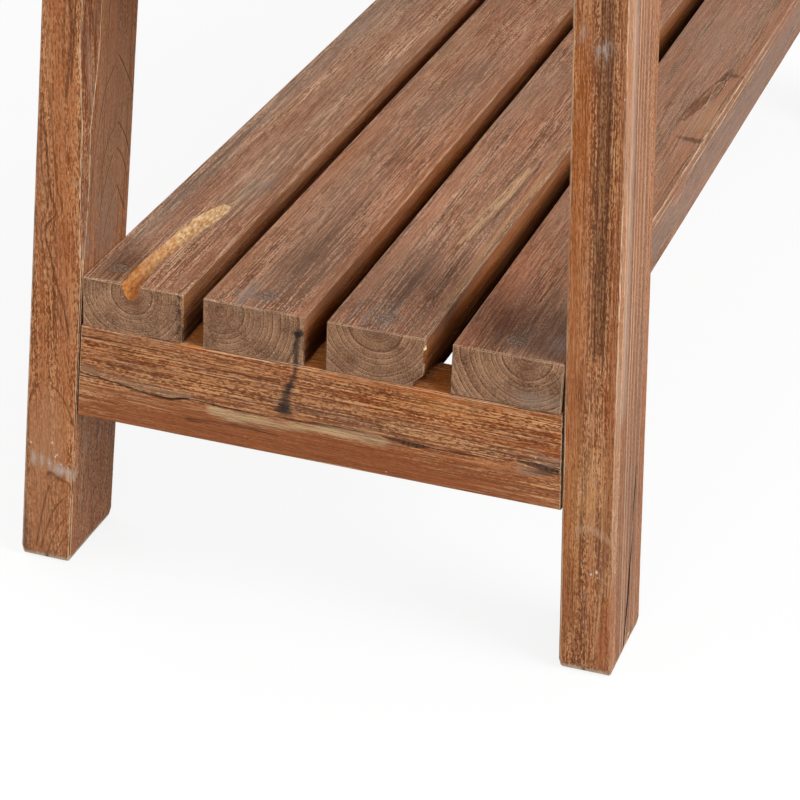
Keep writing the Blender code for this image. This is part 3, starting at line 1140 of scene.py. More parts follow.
    def note_wear_and_shade(self, piece: bpy.types.Object) -> None:
        """Store where edges stand out, where they are hollow, the end grain and the sides in gaps, for the
        wear, the painted highlights and the painted shade.

        Args:
            piece: the finished mesh.
        """
        bm = bmesh.new()
        bm.from_mesh(piece.data)
        arris = bm.verts.layers.float.new("arris")
        hollow = bm.verts.layers.float.new("hollow")
        cap = bm.faces.layers.float.new("cap")
        bark = bm.faces.layers.float.new("bark")
        flank = bm.loops.layers.float.new("flank")
        # Convex edges get the rubbed pale and painted highlights; concave ones get the grime and painted
        # shade.
        for edge in bm.edges:
            angle = edge.calc_face_angle_signed(0.0)
            layer, least = (arris, 0.20) if angle > 0 else (hollow, 0.60)
            share = min(1.0, max(0.0, (abs(angle) - least) / 0.20))
            for vertex in edge.verts:
                vertex[layer] = max(vertex[layer], share)
        number = self.axis.value
        height = self.high.z - self.low.z
        for vertex in bm.verts if self.butted else ():
            if FRAME.inner_face(vertex.co.z) - abs(vertex.co.y) < 1.0 * MM:
                vertex[arris], vertex[hollow] = 0.0, 0.9
        # A plug is sanded flush with its slat, so its pocket has no worn rim.
        for plug in (cut for cut in self.cuts if isinstance(cut, Plug)):
            middle, reach = plug.middle(), plug.radius() + 1.5 * MM
            for vertex in bm.verts:
                if (vertex.co - middle).length < reach:
                    vertex[arris], vertex[hollow] = 0.0, 0.1
        for face in bm.faces:
            if face.material_index:
                for vertex in face.verts:
                    vertex[arris] = 0.0
            face[cap] = 1.0 if abs(face.normal[number]) > 0.75 else 0.0
            if self.axis is Axis.Z:
                face[bark] = 1.0 if min(abs(face.normal.x), abs(face.normal.y)) > 0.3 else 0.0
            # On sides that face a gap, store how far down each point lies, for painted shade darker towards
            # the bottom.
            if any(face.normal.y * sign > 0.5 for sign in self.gaps):
                for loop in face.loops:
                    loop[flank] = min(1.0, max(0.0, (self.high.z - loop.vert.co.z) / height))
        bm.to_mesh(piece.data)
        bm.free()


def on_end(course: Course, width: float, colour: str, strength: float,
           upright: bool = False, soft: float = 0.7, ragged: float = 0.6) -> Vein:
    """A vein on the photographed end, along y or, where upright, along z."""
    along, across = (Axis.Z, Axis.Y) if upright else (Axis.Y, Axis.Z)
    return Vein(course, along, across, Axis.X, END_FACE, width, colour, strength, soft, ragged)


def ring_line(course: Course, width: float, colour: str, strength: float) -> Vein:
    """A fine upright growth line on the photographed end."""
    return on_end(course, width, colour, strength, True, 0.9, 0.25)


def on_inner(course: Course, width: float, colour: str, strength: float) -> Vein:
    """A vein on the inner face of the rear leg, along z."""
    return Vein(course, Axis.Z, Axis.X, Axis.Y, INNER_FACE, width, colour, strength, 0.8, 0.25, 12.0)


def on_shelf(course: Course, width: float, colour: str, strength: float,
             soft: float = 0.7, ragged: float = 0.6) -> Vein:
    """A vein on top of a shelf slat, along x."""
    return Vein(course, Axis.X, Axis.Y, Axis.Z, SHELF_TOP, width, colour, strength, soft, ragged)


@dataclass(frozen=True)
class Character:
    """What sets one board apart: its teak, and what is cut out of it."""

    finish: Teak
    cuts: tuple[Gouge | Chip | Wane, ...] = ()


REAR_LEG_STAINS = (
    ring_line(((290, 148.5), (322, 146), (335, 144.6), (352, 145.8), (400, 142.4)),
        1.6, "#57301A", 0.7),
    ring_line(((300, 145.6), (335, 143), (400, 139.8)), 0.9, "#54301A", 0.7),
    ring_line(((310, 150.6), (345, 148.4), (400, 146.4)), 0.9, "#5E381E", 0.6),
    ring_line(((145, 147.6), (171, 152.3), (181, 155.6), (197, 159), (213, 161.9),
            (224, 155.6), (235, 158.5), (249, 159.6), (274, 161.4)), 1.1, "#512C14", 0.75),
    ring_line(((150, 151.5), (176, 157.5), (197, 163), (214, 164.5), (226, 160.5), (252, 163.5),
            (290, 163)), 0.9, "#57321A", 0.6),
    ring_line(((205, 154), (216, 157), (226, 151.6), (238, 154.2), (252, 155.6), (300, 158)),
        0.9, "#55301A", 0.6),
    Mark((-470, 149, 206), (5, 9, 20), "#9A5630", 0.55, 0.9, 0.6),
    Mark((-470, 166, 40), (9, 22, 84), "#B9805A", 0.45, 0.7, 0.3),
    # A leaf of paler wood above the foot and the ring lines below it.
    Mark((-470, 161, 85), (5, 13, 32), "#C98F66", 0.4, 0.4, 0.2),
    *(ring_line(course, 0.9, "#5E351C", 0.65) for course in (
        ((70.2, 176.2), (83.6, 175.3), (96.9, 173.8), (106.9, 172.4), (113.4, 169.1), (117.1, 163.5)),
        ((92.2, 146.3), (97.1, 147.5), (104.9, 150.5), (111.2, 154.2), (115.4, 159.1), (117.1, 163.5)),
        ((6.3, 170.9), (21.9, 168), (39.5, 164.6), (50.9, 161.2)),
        ((5.7, 167.7), (20.9, 163.6), (34, 158.9), (41.8, 153.7), (46.2, 149.3)),
        ((4.6, 163.2), (18.6, 158.5), (27, 153.9), (32.8, 149.4)),
        ((4.6, 158.4), (12, 154.8), (20, 150.2)))),
    on_end(((148.5, 54.3), (152.3, 54.8), (156.1, 56), (159.9, 58.5), (163.7, 54.3)), 1.8, "#5A3018", 0.6),
    Mark((-470, 154, 62.5), (6, 9, 5.5), "#C4AEA0", 0.5, 1, 0.25),
    Mark((-470, 170, 66), (5, 5, 6), "#C4AC9A", 0.35, 1, 0.3),
    *(Mark((-470, y, z), (3, half, 1.3 * half), "#F2EAE0", 0.8, soft=0.8) for y, z, half in (
        (172.9, 76.2, 0.8), (159.6, 78.6, 1), (156.6, 71.1, 0.7), (157.6, 69.8, 0.5), (154.2, 65.4, 0.6),
        (161.4, 64.5, 0.5))),
    *(Mark((-470, y, z), (4, wide, tall), "#DCD0C6", cover, 1, 0.15)
        for y, z, wide, tall, cover in (
        (171.6, 66.5, 2.2, 7, 0.40), (166.2, 66, 2, 7, 0.42), (161.4, 65, 2.6, 6, 0.45),
        (154.6, 61, 6.5, 4.5, 0.50), (148.6, 59.5, 3.5, 6, 0.60))),
    *(Mark((x, 146, z), (2.6, 6, 7), "#D8CCC0", cover, 1, 0.4)
        for x, z, cover in ((-466, 59, 0.55), (-452, 70, 0.28), (-432, 68, 0.35))),
    Mark((-437, 136, 260), (40, 7, 150), "#B08C72", 0.5, 0.4, 0.6),
    *(on_inner(((-10, x), (150, x + 0.6), (300, x - 0.5), (460, x)), wide, tone, cover)
        for x, wide, tone, cover in (
        (-462, 0.9, "#5A3824", 0.45), (-456.5, 0.8, "#C7A488", 0.4), (-448, 0.8, "#5A3824", 0.4),
        (-421, 0.8, "#C7A488", 0.35), (-415, 0.9, "#5A3824", 0.45), (-408.5, 0.9, "#C7A488", 0.4))),
    Mark((-442, 139, 206), (30, 6, 30), "#A08A7A", 0.5, 0.9, 0.9),
    # Flat-sawn arches on the inner face: a dark line with a pale one inside it.
    *(on_inner(tuple((z - drop, x) for z, x in course), wide, tone, cover)
        for drop, wide, tone, cover in ((0, 0.9, "#4A2A17", 0.75), (2.2, 0.7, "#C79E7C", 0.45))
        for course in (
        ((215, -464), (263.1, -458.1), (292, -449), (300.8, -439.8), (307.7, -432.3)),
        ((265, -404), (279.9, -410.7), (294.3, -421), (307.7, -432.3)),
        ((228, -452), (252, -445.6), (263, -437), (267, -429.4)),
        ((238, -410), (248.3, -414), (258.2, -420.9), (267, -429.4)),
        ((215, -450), (236, -442), (248, -434), (251, -429.6)),
        ((226, -412), (242, -420), (251, -429.6)),
        ((200, -442), (218, -434), (227, -426)),
        ((205, -412), (227, -426)))),
    Mark((-445, 155, 0), (60, 40, 4.2), "#E2CDB6", 0.7, 0.5, 0.4),
    Mark((-445, 155, 0), (60, 40, 1.3), "#4A3224", 0.6, 0.6, 0.6),
)
REAR_LEG_CUTS = (
    Wane(Side.REAR, True, (
        (184, 0.2, 0.2), (194, 0.8, 0.8), (213, 2.4, 2.6), (234, 3.1, 3.4), (252.7, 3.6, 3.6),
        (274, 3.5, 2.3), (278, 3.6, 2.6), (282, 4.2, 3.7), (295, 5.4, 6), (304, 6.2, 7.6),
        (324.5, 7.3, 10.4), (350, 7.3, 11), (390, 6.8, 10.5), (430, 4, 6), (456, 2, 3),
    )),
)
REAR_LEG = Character(Teak(
    "leg_rear_left", (-430, 146, 290), (0, 0.0104, 1), ring=2.5, figure=0.12, sway=1.2, seed=3.7,
    lines=0.20, grit=0.30, pore=2, fleck=0.26, gold=0.28,
    pale="#E0A26E", mid="#B66E3E", dark="#763F1A", bark="#743C24", rub=1.3,
    stains=REAR_LEG_STAINS,
), REAR_LEG_CUTS)

FRONT_LEG_STAINS = (
    on_end(((20, -153.5), (390, -134.3)), 7.5, "#B4692E", 0.40, True, 0.9, 0.1),
    on_end(((190, -158.1), (400, -147.2)), 6.5, "#5A331C", 0.60, True, 0.9, 0.08),
    on_end(((190, -155.1), (400, -144.2)), 1, "#4A2814", 0.45, True, 0.9, 0.15),
    on_end(((170, -161), (400, -149.6)), 0.8, "#46260F", 0.45, True, 0.9, 0.15),
    on_end(((60, -172), (400, -156)), 3.2, "#8E5434", 0.40, True, 0.9, 0.1),
    Mark((-470, -136, 374), (5, 3, 7), "#C9BDB4", 0.45, 1, 1),
    Mark((-470, -146.5, 367), (5, 4, 6), "#CDC3BC", 0.5, 1, 1, (25, 0, 0)),
    Mark((-470, -158, 112), (5, 12, 30), "#D09A66", 0.45, 0.9, 1.4),
    # A redder leaf by the foot, a pale ripple above it, and specks of dust.
    Mark((-470, -176, 28), (5, 7.5, 38), "#A45A30", 0.5, 0.4, 0.2),
    on_end(((8.8, -168.7), (35.9, -169.8), (59.4, -170.8), (68, -174)), 0.9, "#D6A878", 0.55, True, 0.9,
        0.5),
    on_end(((-175, 84), (-166.7, 89.6), (-160, 92), (-152, 88)), 3.4, "#D2A684", 0.45, ragged=0.9),
    Mark((-470, -150, 176), (5, 7, 20), "#7E3E22", 0.4, 1, 0.6),
    Mark((-470, -152, 44), (5, 8, 40), "#6E3E26", 0.35, 1, 0.6),
    *(Mark((-470, y, z), (3, half, 1.3 * half), "#F2EAE0", 0.8, soft=0.8) for y, z, half in (
        (-166.6, 65.8, 0.9), (-163.6, 63.8, 0.6), (-167.4, 62.6, 0.5))),
    Vein(((150, -461.5), (190, -460.6), (300, -460.2), (480, -460.4)), Axis.Z, Axis.X, Axis.Y, -170,
        7, "#D9C4B0", 0.6, 0.8, 0.3, 16),
    *(Vein(((-20, away - 463.5), (120, away - 464.2), (260, away - 463), (480, away - 463.8)),
        Axis.Z, Axis.X, Axis.Y, -170, 1.3 * wide, tone, 1.2 * cover, 0.9, rough, 16)
        for away, wide, tone, cover, rough in (
        (25, 23, "#8E6A54", 0.20, 0.05),
        (2.4, 0.8, "#8C5C3C", 0.7, 0.5), (4.8, 0.8, "#7C4E32", 0.75, 0.5), (7.4, 0.9, "#8A5A38", 0.7, 0.5),
        (10, 1, "#7E4E30", 0.7, 0.5), (12.4, 0.9, "#DCC2A8", 0.55, 0.5), (15, 0.9, "#85583E", 0.6, 0.5),
        (18, 0.9, "#D0AE92", 0.5, 0.5), (21, 1, "#7C5038", 0.6, 0.5), (25, 0.9, "#D0AE92", 0.45, 0.5),
        (28, 1.3, "#7C5038", 0.55, 0.5), (33, 0.9, "#CBA88C", 0.45, 0.5), (37, 1.1, "#7C5038", 0.55, 0.5),
        (43, 0.9, "#CBA88C", 0.45, 0.5))),
    Mark((-428, -177, 70), (42, 14, 130), "#6E4A36", 0.32, 0.9, 0.5),
    Mark((-445, -160, 0), (60, 40, 4.2), "#E2CDB6", 0.8, 0.5, 0.4),
    Mark((-445, -160, 0), (60, 40, 1.3), "#4A3224", 0.6, 0.6, 0.6),
)
FRONT_LEG_CUTS = (
    Wane(Side.FRONT, False, (
        (-2, 1.6, 1.5), (60, 2, 1.9), (120, 2.3, 2.1), (200, 1.9, 1.8), (290, 1.7, 1.6),
        (394, 1.7, 1.6), (452, 1.4, 1.3),
    )),
    Gouge(((-426.5, -174.3, 113, 0.6, 1), (-428, -174.9, 100, 2.2, 6), (-429.5, -175.5, 90, 2, 6),
        (-430.7, -176.1, 80, 0.6, 1)), (0, -1, 0.05)),
    Gouge(((-429.3, -176.7, 70, 0.6, 2), (-434.1, -177.5, 53, 3, 9), (-436.4, -178.5, 35, 3.6, 9),
        (-442.5, -179.8, 9, 2.4, 7), (-445, -180.4, -2, 2, 6)), (0, -1, 0.05)),
    Chip((-431, -181.8, 2), (10.5, 2.6, 9), None),
)
FRONT_LEG = Character(Teak(
    "leg_front_left", (-455, -185, 250), (0, 0.052, 1), ring=3.4, sway=2, seed=9.2, bark="#B8937A", rub=1.3,
    fleck=0.38, gold=0.4, lines=0.46, grit=0.44, pore=2.8,
    stains=FRONT_LEG_STAINS,
), FRONT_LEG_CUTS)

LOWER_RAIL_STAINS = (
    Mark((-470, 10, 106), (9, 190, 18), "#9A5630", 0.85, 0.4, 0.3),
    # Painted light: the rail's top between the slats is a brighter, warmer orange where light falls in
    # through the gaps.
    *(Mark((-448, y, 160), (30, half, 5), tone, 0.9, 0.3, 0.9)
        for y, half, tone in ((73, 12, "#D87E2A"), (1, 10, "#CC7424"), (-72, 12, "#B8641A"))),
    Mark((-470, -72, 150), (6, 28, 9), "#D88E4C", 0.45, 1, 0.4),
    Mark((-470, -108, 139), (6, 36, 5), "#7A3E1C", 0.45, 1, 0.8),
    Mark((-470, 66, 146), (6, 50, 6), "#8E5028", 0.35, 1, 0.8),
    Mark((-470, 112, 138), (6, 32, 5), "#74462A", 0.35, 1, 0.8),
    on_end(((60, 149.6), (100, 150.6), (142, 151.4)), 0.6, "#3A2010", 0.7, ragged=0.5),
    on_end(((20, 145), (70, 146), (120, 147.5)), 0.5, "#3A2010", 0.55, ragged=0.7),
    on_end(((-100, 152), (-40, 150.5), (10, 151.5)), 0.5, "#3A2010", 0.5, ragged=0.7),
    on_end(((72, 127), (90, 125), (116, 128), (142, 131)), 2.8, "#A68C72", 0.45, ragged=1.4),
    on_end(((-45, 121), (-15, 120.8), (8.6, 119.6), (32, 118.9), (66, 121)), 3.2, "#D8B68A", 0.75,
        ragged=1.1),
    on_end(((20, 112), (48, 113), (78, 111)), 1.3, "#55301A", 0.6, ragged=1.2),
    on_end(((-142, 123), (-122, 125.2), (-90, 123.2), (-64.6, 122.7), (-41, 124.1), (-15, 124.3),
            (8.6, 123.8), (32, 122.9), (59, 123.5), (74, 124.3), (89.5, 121.8), (102, 122.5),
            (116, 124.7), (129, 126.5), (142, 127.7)), 0.8, "#2E180C", 0.75, soft=0.7, ragged=1.3),
    Mark((-470, -33, 122.6), (6, 17, 3.6), "#A08468", 0.7, 0.8, 1.2),
    Mark((-470, -50, 122.4), (6, 15, 4.2), "#6A4428", 0.6, 0.8, 1),
    Mark((-470, -131, 124.5), (6, 14, 6), "#9C8874", 0.65, 0.8, 1.4),
    Mark((-470, -133, 122), (6, 9, 3), "#3A2418", 0.7, 0.8, 0.8),
    Mark((-470, -123, 125.6), (4, 5, 2.6), "#2A1A10", 0.7, 0.8, 1),
    Mark((-470, -137, 123.6), (4, 5, 3), "#2A1A10", 0.7, 0.8, 1),
    Mark((-470, -130, 126.8), (4, 5, 1.6), "#C9B9A8", 0.6, 0.8, 1.4),
    on_end(((139, 16.9), (148, 14), (153.6, 12.4), (158.5, 12)), 2.2, "#2A2320", 0.75, True, 0.8, 0.3),
    on_end(((127, 18.1), (134, 17.9), (142, 16.4), (146, 14.6)), 4.2, "#2A2320", 0.75, True, 0.7, 0.2),
    Mark((-470, 18.4, 128.6), (6, 7.2, 4.2), "#241F1D", 0.75, 0.5, 0.3),
)
LOWER_RAIL_CUTS = (
    Gouge(((-470, 141, 127.6, 0.3, 0.6), (-470, 116, 124.7, 0.35, 0.8), (-470, 100, 122.4, 0.3, 0.6),
        (-470, 92, 122, 0.4, 1), (-470, 86, 122.2, 0.9, 3), (-470, 80, 123.2, 0.9, 3),
        (-470, 73, 124.4, 0.3, 0.8), (-470, 50, 123.2, 0.3, 0.6), (-470, 8, 123.8, 0.3, 0.6)),
        (-1, 0, 0)),
    Gouge(((-470, -40, 124.1, 0.5, 0.8), (-470, -52, 123, 3.2, 2.6), (-470, -60, 122.4, 2.6, 2.6),
        (-470, -66, 122.6, 0.6, 0.8)), (-1, 0, 0), KNOT, True),
    Gouge(((-470, -56, 123.6, 0.3, 0.8), (-470, -62, 123.4, 0.9, 3.5), (-470, -72, 122.6, 0.3, 0.6)),
        (-1, 0, 0)),
    Gouge(((-470, -118, 125.5, 0.4, 0.8), (-470, -127, 124.6, 3.4, 2), (-470, -134, 124, 3.4, 2.4),
        (-470, -141, 123.2, 1, 1.2)), (-1, 0, 0), KNOT, True),
    Gouge(((-470, -121, 125.4, 0.3, 0.8), (-470, -129, 125.4, 1, 3.5), (-470, -140, 124, 0.4, 1)),
        (-1, 0, 0)),
)
LOWER_RAIL = Character(Teak(
    "lower_rail_left", (-452, 0, 205), (0, 1, 0.015), ring=2.4, fleck=0.4, gold=0.45, pore=5, grit=0.44,
    sway=2.5, streaks=0.35, seed=14.6, pale="#E4A46C", mid="#B46937", dark="#763A14", rub=1, lines=0.50,
    stains=LOWER_RAIL_STAINS,
), LOWER_RAIL_CUTS)

SLAT_TONES = {"grey": 0.30, "grit": 0.26, "lines": 0.32, "gold": 0.3, "figure": 0.32, "rub": 0.8,
              "sway": 2, "pore": 4, "warm": "#A8623C"}
PINKISH = {"pale": "#E6B492", "mid": "#B47D5B", "dark": "#7A4A2A"}
GREYISH = {"pale": "#D8AC8C", "mid": "#A37155", "dark": "#6C4226"}
REDDISH = {"pale": "#BE8C70", "mid": "#9C6C50", "dark": "#66401F", "streaks": 0.15}

SHELF_SLATS = (
    Character(
        Teak("shelf_slat_1", (-470, 110, 183), (1, 0.004, 0.01), ring=2.8, seed=21.3,
                pale="#FED2B0", mid="#DCA37C", dark="#96633E", flank="#9A5820", deep=0.35, stains=(
            Mark((-470, 110, 179), (5, 13, 10), "#7A4C34", 0.5, 0.8, 0.4),
            Mark((-468, 81.6, 172), (5, 2.6, 18), "#20130A", 0.75, 0.8, 1.3),
            on_shelf(((-470, 131.5), (-200, 131.5), (200, 131.5)), 8, "#9C8878", 0.40),
            Mark((-450, 126, 188), (36, 13, 4), "#5A301A", 0.6, 0.9, 0.3),
            on_shelf(((-470, 84.5), (-250, 83), (0, 84)), 4.5, "#A5673F", 0.5, 0.9),
            on_shelf(((-440, 95), (-330, 90.5), (-150, 89)), 2.4, "#8A5638", 0.5, 0.9, 1),
            Mark((-312, 97, 188), (24, 9, 4), "#A29080", 0.5, 0.9, 0.9),
            on_shelf(((-352, 101), (-320, 97.5), (-286, 93.5)), 1.2, "#DDBB92", 0.7, ragged=1),
            on_shelf(((-345, 104), (-310, 101.5), (-300, 101)), 0.8, "#DDBB92", 0.5, ragged=1.4),
        ), **SLAT_TONES),
        (
            Gouge(((-462, 111, 188, 10, 8), (-440, 111.8, 188, 10, 7.4),
                (-400, 109, 188, 10.5, 5.6), (-368, 105.4, 188, 13, 4),
                (-352, 103, 188, 10, 1.8), (-344, 101.5, 188, 5, 0.5)), (0, 0, 1), STRAW, True, 0.5, 0.1),
            Gouge(((-476, 110.2, 188, 10.4, 11.4), (-466, 110.6, 188, 10.2, 10.4),
                (-452, 111.2, 188, 9.4, 8), (-430, 111.4, 188, 6, 5.6)), (0, 0, 1), STRAW, True, 0.3),
        ),
    ),
    Character(
        Teak("shelf_slat_2", (-470, 56.6, 182), (1, -0.006, 0.012), ring=3, seed=33.9, flank="#8E4C14",
            stains=(
            Mark((-470, 57, 180), (5, 11, 9), "#7A4C34", 0.4, 0.8, 0.4),
            Mark((-415, 36, 188), (55, 14, 4), "#5C4230", 0.42, 1, 0.5),
            Mark((-300, 30, 188), (110, 7, 4), "#6E4A34", 0.4, 1, 0.5),
            Mark((-454, 42, 188), (17, 13, 4), "#968A80", 0.6, 0.9, 1.5),
            on_shelf(((-470, 62), (-250, 61), (100, 61)), 5, "#C08458", 0.45, 0.9, 0.9),
            on_shelf(((-470, 10), (-350, 10.5), (100, 10)), 3, "#A8683C", 0.5, 0.9, 0.9),
            Mark((-436, 7.2, 170), (42, 3, 13), "#120C09", 0.9, 0.6, 0.3),
            on_end(((157, 12.2), (166, 12), (173, 11.7), (179, 11)), 2.3, "#2A2421", 0.85, True),
            Mark((-470, 10.4, 177.5), (5, 4.6, 3.4), "#241E1B", 0.85, 0.6, 0.5),
        ), **PINKISH, **SLAT_TONES),
    ),
    Character(
        Teak("shelf_slat_3", (-470, -33, 191), (1, 0.002, 0.006), ring=3.6, seed=45.1, flank="#9E561A",
                deep=0.3, stains=(
            Mark((-470, -33, 185), (5, 15, 10), "#6E4630", 0.5, 0.9, 0.5),
            Mark((-405, -34, 188), (46, 13, 4), "#5E473A", 0.35, 1, 0.5),
            Mark((-452, -32, 188), (17, 14, 4), "#8C7D72", 0.6, 0.9, 1.5),
            on_shelf(((-440, -12), (-350, -13), (-200, -14)), 6, "#C08A68", 0.45, 0.9, 0.8),
            on_shelf(((-440, -58), (-300, -58), (100, -58)), 2.6, "#C4905E", 0.5, 0.9, 1),
            Mark((-395, -50, 188), (30, 6, 4), "#4A3020", 0.35, 1, 1),
            on_shelf(((-345, -41), (-300, -44.6), (-277, -46.7), (-240, -47.5), (-214, -48.3)),
                1.7, "#D9B184", 0.7, ragged=1.5),
            on_shelf(((-320, -38.5), (-270, -42.6), (-230, -45.6)), 0.9, "#D8AE80", 0.6, ragged=1.5),
            on_shelf(((-330, -46.5), (-280, -50), (-200, -52)), 1.2, "#4A2E1C", 0.6, ragged=1.2),
        ), **GREYISH, **SLAT_TONES),
        (
            Gouge(((-476, -61.8, 158, 60, 7), (-466, -61.8, 158, 60, 6.6),
                (-448, -61.8, 158, 60, 3.4), (-434, -61.8, 158, 60, 0.2)),
                (0, -0.805, -0.593), SPLIT, False, 0.6),
            Chip((-472.5, -63.4, 179), (8, 2.6, 6), SPLIT, (15, 0, 0)),
            Chip((-471.5, -62.6, 182), (5, 2, 2.4), FIBRE, (15, 0, 0)),
        ),
    ),
    Character(
        Teak("shelf_slat_4", (-470, -119, 189), (1, -0.003, 0.008), ring=3.2, seed=57.4, stains=(
            Mark((-449, -105, 188), (16, 13, 4), "#7E6C60", 0.55, 0.9, 1.5),
            Mark((-430, -95, 188), (60, 16, 4), "#854C32", 0.45, 1, 0.8),
            Mark((60, -112, 188), (400, 40, 4), "#BC9C84", 0.35, 0.9, 0.6),
            on_shelf(((-470, -138.6), (0, -138.8), (480, -138.6)), 1.9, "#8A5236", 0.5, 0.9, 0.3),
            Mark((0, -139.5, 172), (600, 3, 17), "#8E786A", 0.55, 0.5, 0.6),
            on_shelf(((-380, -128), (-100, -131), (300, -131)), 4, "#B47A54", 0.4, 0.9, 0.9),
            Mark((-80, -128, 188), (44, 7, 4), "#BE9470", 0.5, 0.7, 0.4, (0, 0, -5)),
            Mark((-58, -119.4, 188), (50, 4, 4), "#6A4229", 0.7, 0.6, 0.4, (0, 0, -6)),
            Mark((-54, -117.4, 188), (46, 1.2, 4), "#4A2C1A", 0.55, 0.6, 0.3, (0, 0, -6)),
            Mark((-10, -124, 188), (24, 2.6, 4), "#5A3822", 0.75, 0.6, 0.4, (0, 0, -6)),
            Mark((-126.6, -127, 188), (4, 11, 4), "#5E3C28", 0.75, 0.6, 0.7, (0, 0, -9)),
            Mark((-2, -131, 188), (4, 7, 4), "#5E3C28", 0.7, 0.6, 0.7, (0, 0, -15)),
            Mark((-447, -131, 188), (16, 9, 4), "#B2A79F", 0.5, 0.9, 0.8),
            Mark((-470, -124, 164), (5, 18, 7), "#9A8A7C", 0.6, 0.9, 0.8),
            Mark((-470, -119, 183), (5, 9, 8), "#6B402B", 0.55, 0.9, 0.4),
        ), **REDDISH, **{**SLAT_TONES, "rub": 0.7}),
        (
            Gouge(((-95, -116.3, 188, 1, 0.4), (-80, -118, 188, 6, 1.4), (-60, -120.5, 188, 7, 1.5),
                (-45, -122, 188, 2.2, 0.7), (-38, -123, 188, 4.8, 1.2), (-22, -125.5, 188, 4, 1),
                (-13, -127, 188, 0.8, 0.4)), (0, 0, 1), None, True),
            Gouge(((-404, -139.5, 188, 40, 1.6), (-100, -139.5, 188, 40, 2),
                (200, -139.5, 188, 40, 1.7), (474, -139.5, 188, 40, 1.4)),
                (0, -0.62, 0.78), None, False, 0.1, 0.05),
        ),
    ),
)


# Mesh spacing along and across the grain, for boards that are seen from near and from far.
NEAR = (2.0 * MM, 2.0 * MM)
FAR = (5.0 * MM, 3.0 * MM)


@dataclass
class EndFrame:
    """Two splayed legs with a lower and an upper rail between them.

    Attributes:
        end: which end of the bench.
        joint_gap: the shadow line between a rail's shoulder and a leg.
        foot_wear: how far the edges of a foot are rubbed back.
        foot_height: how high up the rubbing reaches.
    """

    end: End
    joint_gap: float = 0.35 * MM
    foot_wear: float = 1.6 * MM
    foot_height: float = 4.5 * MM

    def build(self) -> None:
        """Build both legs and both rails."""
        near = self.end is End.LEFT
        for side in Side:
            named = (REAR_LEG if side is Side.REAR else FRONT_LEG) if near else None
            self.leg(side, named or self.plain_leg(side)).build()
        for level in Level:
            named = LOWER_RAIL if near and level is Level.LOWER else None
            self.rail(level, named or self.plain_rail(level)).build()

    def plain_leg(self, side: Side) -> Character:
        """Describe a leg that the photograph doesn't show.

        Args:
            side: front or rear.

        Returns:
            Its teak.
        """
        name = f"leg_{side.name.lower()}_{self.end.name.lower()}"
        heart = (438.0 * self.end.value, 150.0 * side.value, 250.0)
        grain = (0.01, -0.045 * side.value, 1.0)
        return Character(Teak(name, heart, grain, sway=2.5, seed=61.0 + 5.3 * side.value))

    def plain_rail(self, level: Level) -> Character:
        """Describe a rail that the photograph doesn't show.

        Args:
            level: lower or upper.

        Returns:
            Its teak.
        """
        name = f"{level.value}_rail_{self.end.name.lower()}"
        height = 170.0 if level is Level.LOWER else 380.0
        heart = (450.0 * self.end.value, 0.0, height)
        seed = 71.0 + 3.1 * self.end.value + len(name)
        return Character(Teak(name, heart, (0.01, 1.0, 0.02), fleck=0.8, sway=2.5, seed=seed))

    def leg(self, side: Side, character: Character) -> Board:
        """One leg, which leans in towards its top.

        Args:
            side: front or rear.
            character: its teak and cuts.

        Returns:
            The board.
        """
        node = f"leg_{side.name.lower()}_{self.end.name.lower()}"
        low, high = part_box(node)
        faces = [side.value * (FRAME.inner_face(0.0) + width) for width in (0.0, FRAME.leg_width)]
        low.y, high.y = min(faces), max(faces)

        middle = (low + high) / 2

        def lean(point: Vector) -> None:
            """Round the foot and splay the leg."""
            worn = self.foot_wear * max(0.0, 1.0 - point.z / self.foot_height) ** 2
            for place in (0, 1):
                point[place] -= math.copysign(worn, point[place] - middle[place])
            point.y -= side.value * FRAME.splay * point.z

        mesh = NEAR if self.end is End.LEFT else FAR
        return Board(node, "teak_leg", Axis.Z, low, high, character.finish, *mesh, lean=lean,
                     cuts=character.cuts)

    def rail(self, level: Level, character: Character) -> Board:
        """One rail, whose ends follow the legs' inner faces.

        Args:
            level: lower or upper.
            character: its teak and cuts.

        Returns:
            The board.
        """
        node = f"{level.value}_rail_{self.end.name.lower()}"
        low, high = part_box(node)
        half = FRAME.inner_face((low.z + high.z) / 2)
        low.y, high.y = -half, half

        def follow_legs(point: Vector) -> None:
            """Slant the ends."""
            point.y *= (FRAME.inner_face(point.z) - self.joint_gap) / half

        mesh = NEAR if self.end is End.LEFT else FAR
        return Board(node, "teak_rail", Axis.Y, low, high, character.finish, *mesh,
                     butted=True, lean=follow_legs, cuts=character.cuts)


@dataclass
class Shelf:
    """Four slats over the lower rails, each held by a screw and a plug at either end.

    Attributes:
        characters: the slats, from the rear to the front.
        seats: how far in from the bench's end the rails reach, where the slats are planed to bear on them.
        sag: how much the slats are thicker between the rails.
    """

    characters: tuple[Character, ...] = SHELF_SLATS
    seats: float = 66.5 * MM
    sag: float = 3.0 * MM

    def thicken(self, point: Vector) -> None:
        """Let a slat's underside hang between the rails.

        Args:
            point: a point of the slat, which is moved.
        """
        inside = min(1.0, (0.5 - self.seats - abs(point.x)) / (2 * MM))
        if point.z < FRAME.shelf_top - 28 * MM and inside > 0:
            point.z -= self.sag * inside

    def build(self) -> None:
        """Build the slats and their plugs."""
        for number, character in enumerate(self.characters, 1):
            node = f"shelf_slat_{number}"
            low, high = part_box(node)
            plugs = [Plug(f"shelf_{number}_{end.name.lower()}_filler") for end in End]
            gaps = tuple(sign for sign in (-1, 1) if (number, sign) not in ((1, 1), (4, -1)))
            Board(node, "teak_slat", Axis.X, low, high, character.finish, *NEAR, arris=1.0 * MM,
                  wear=0.6 * MM, gaps=gaps, lean=self.thicken, cuts=(*character.cuts, *plugs)).build()
            for plug in plugs:
                plug.build()


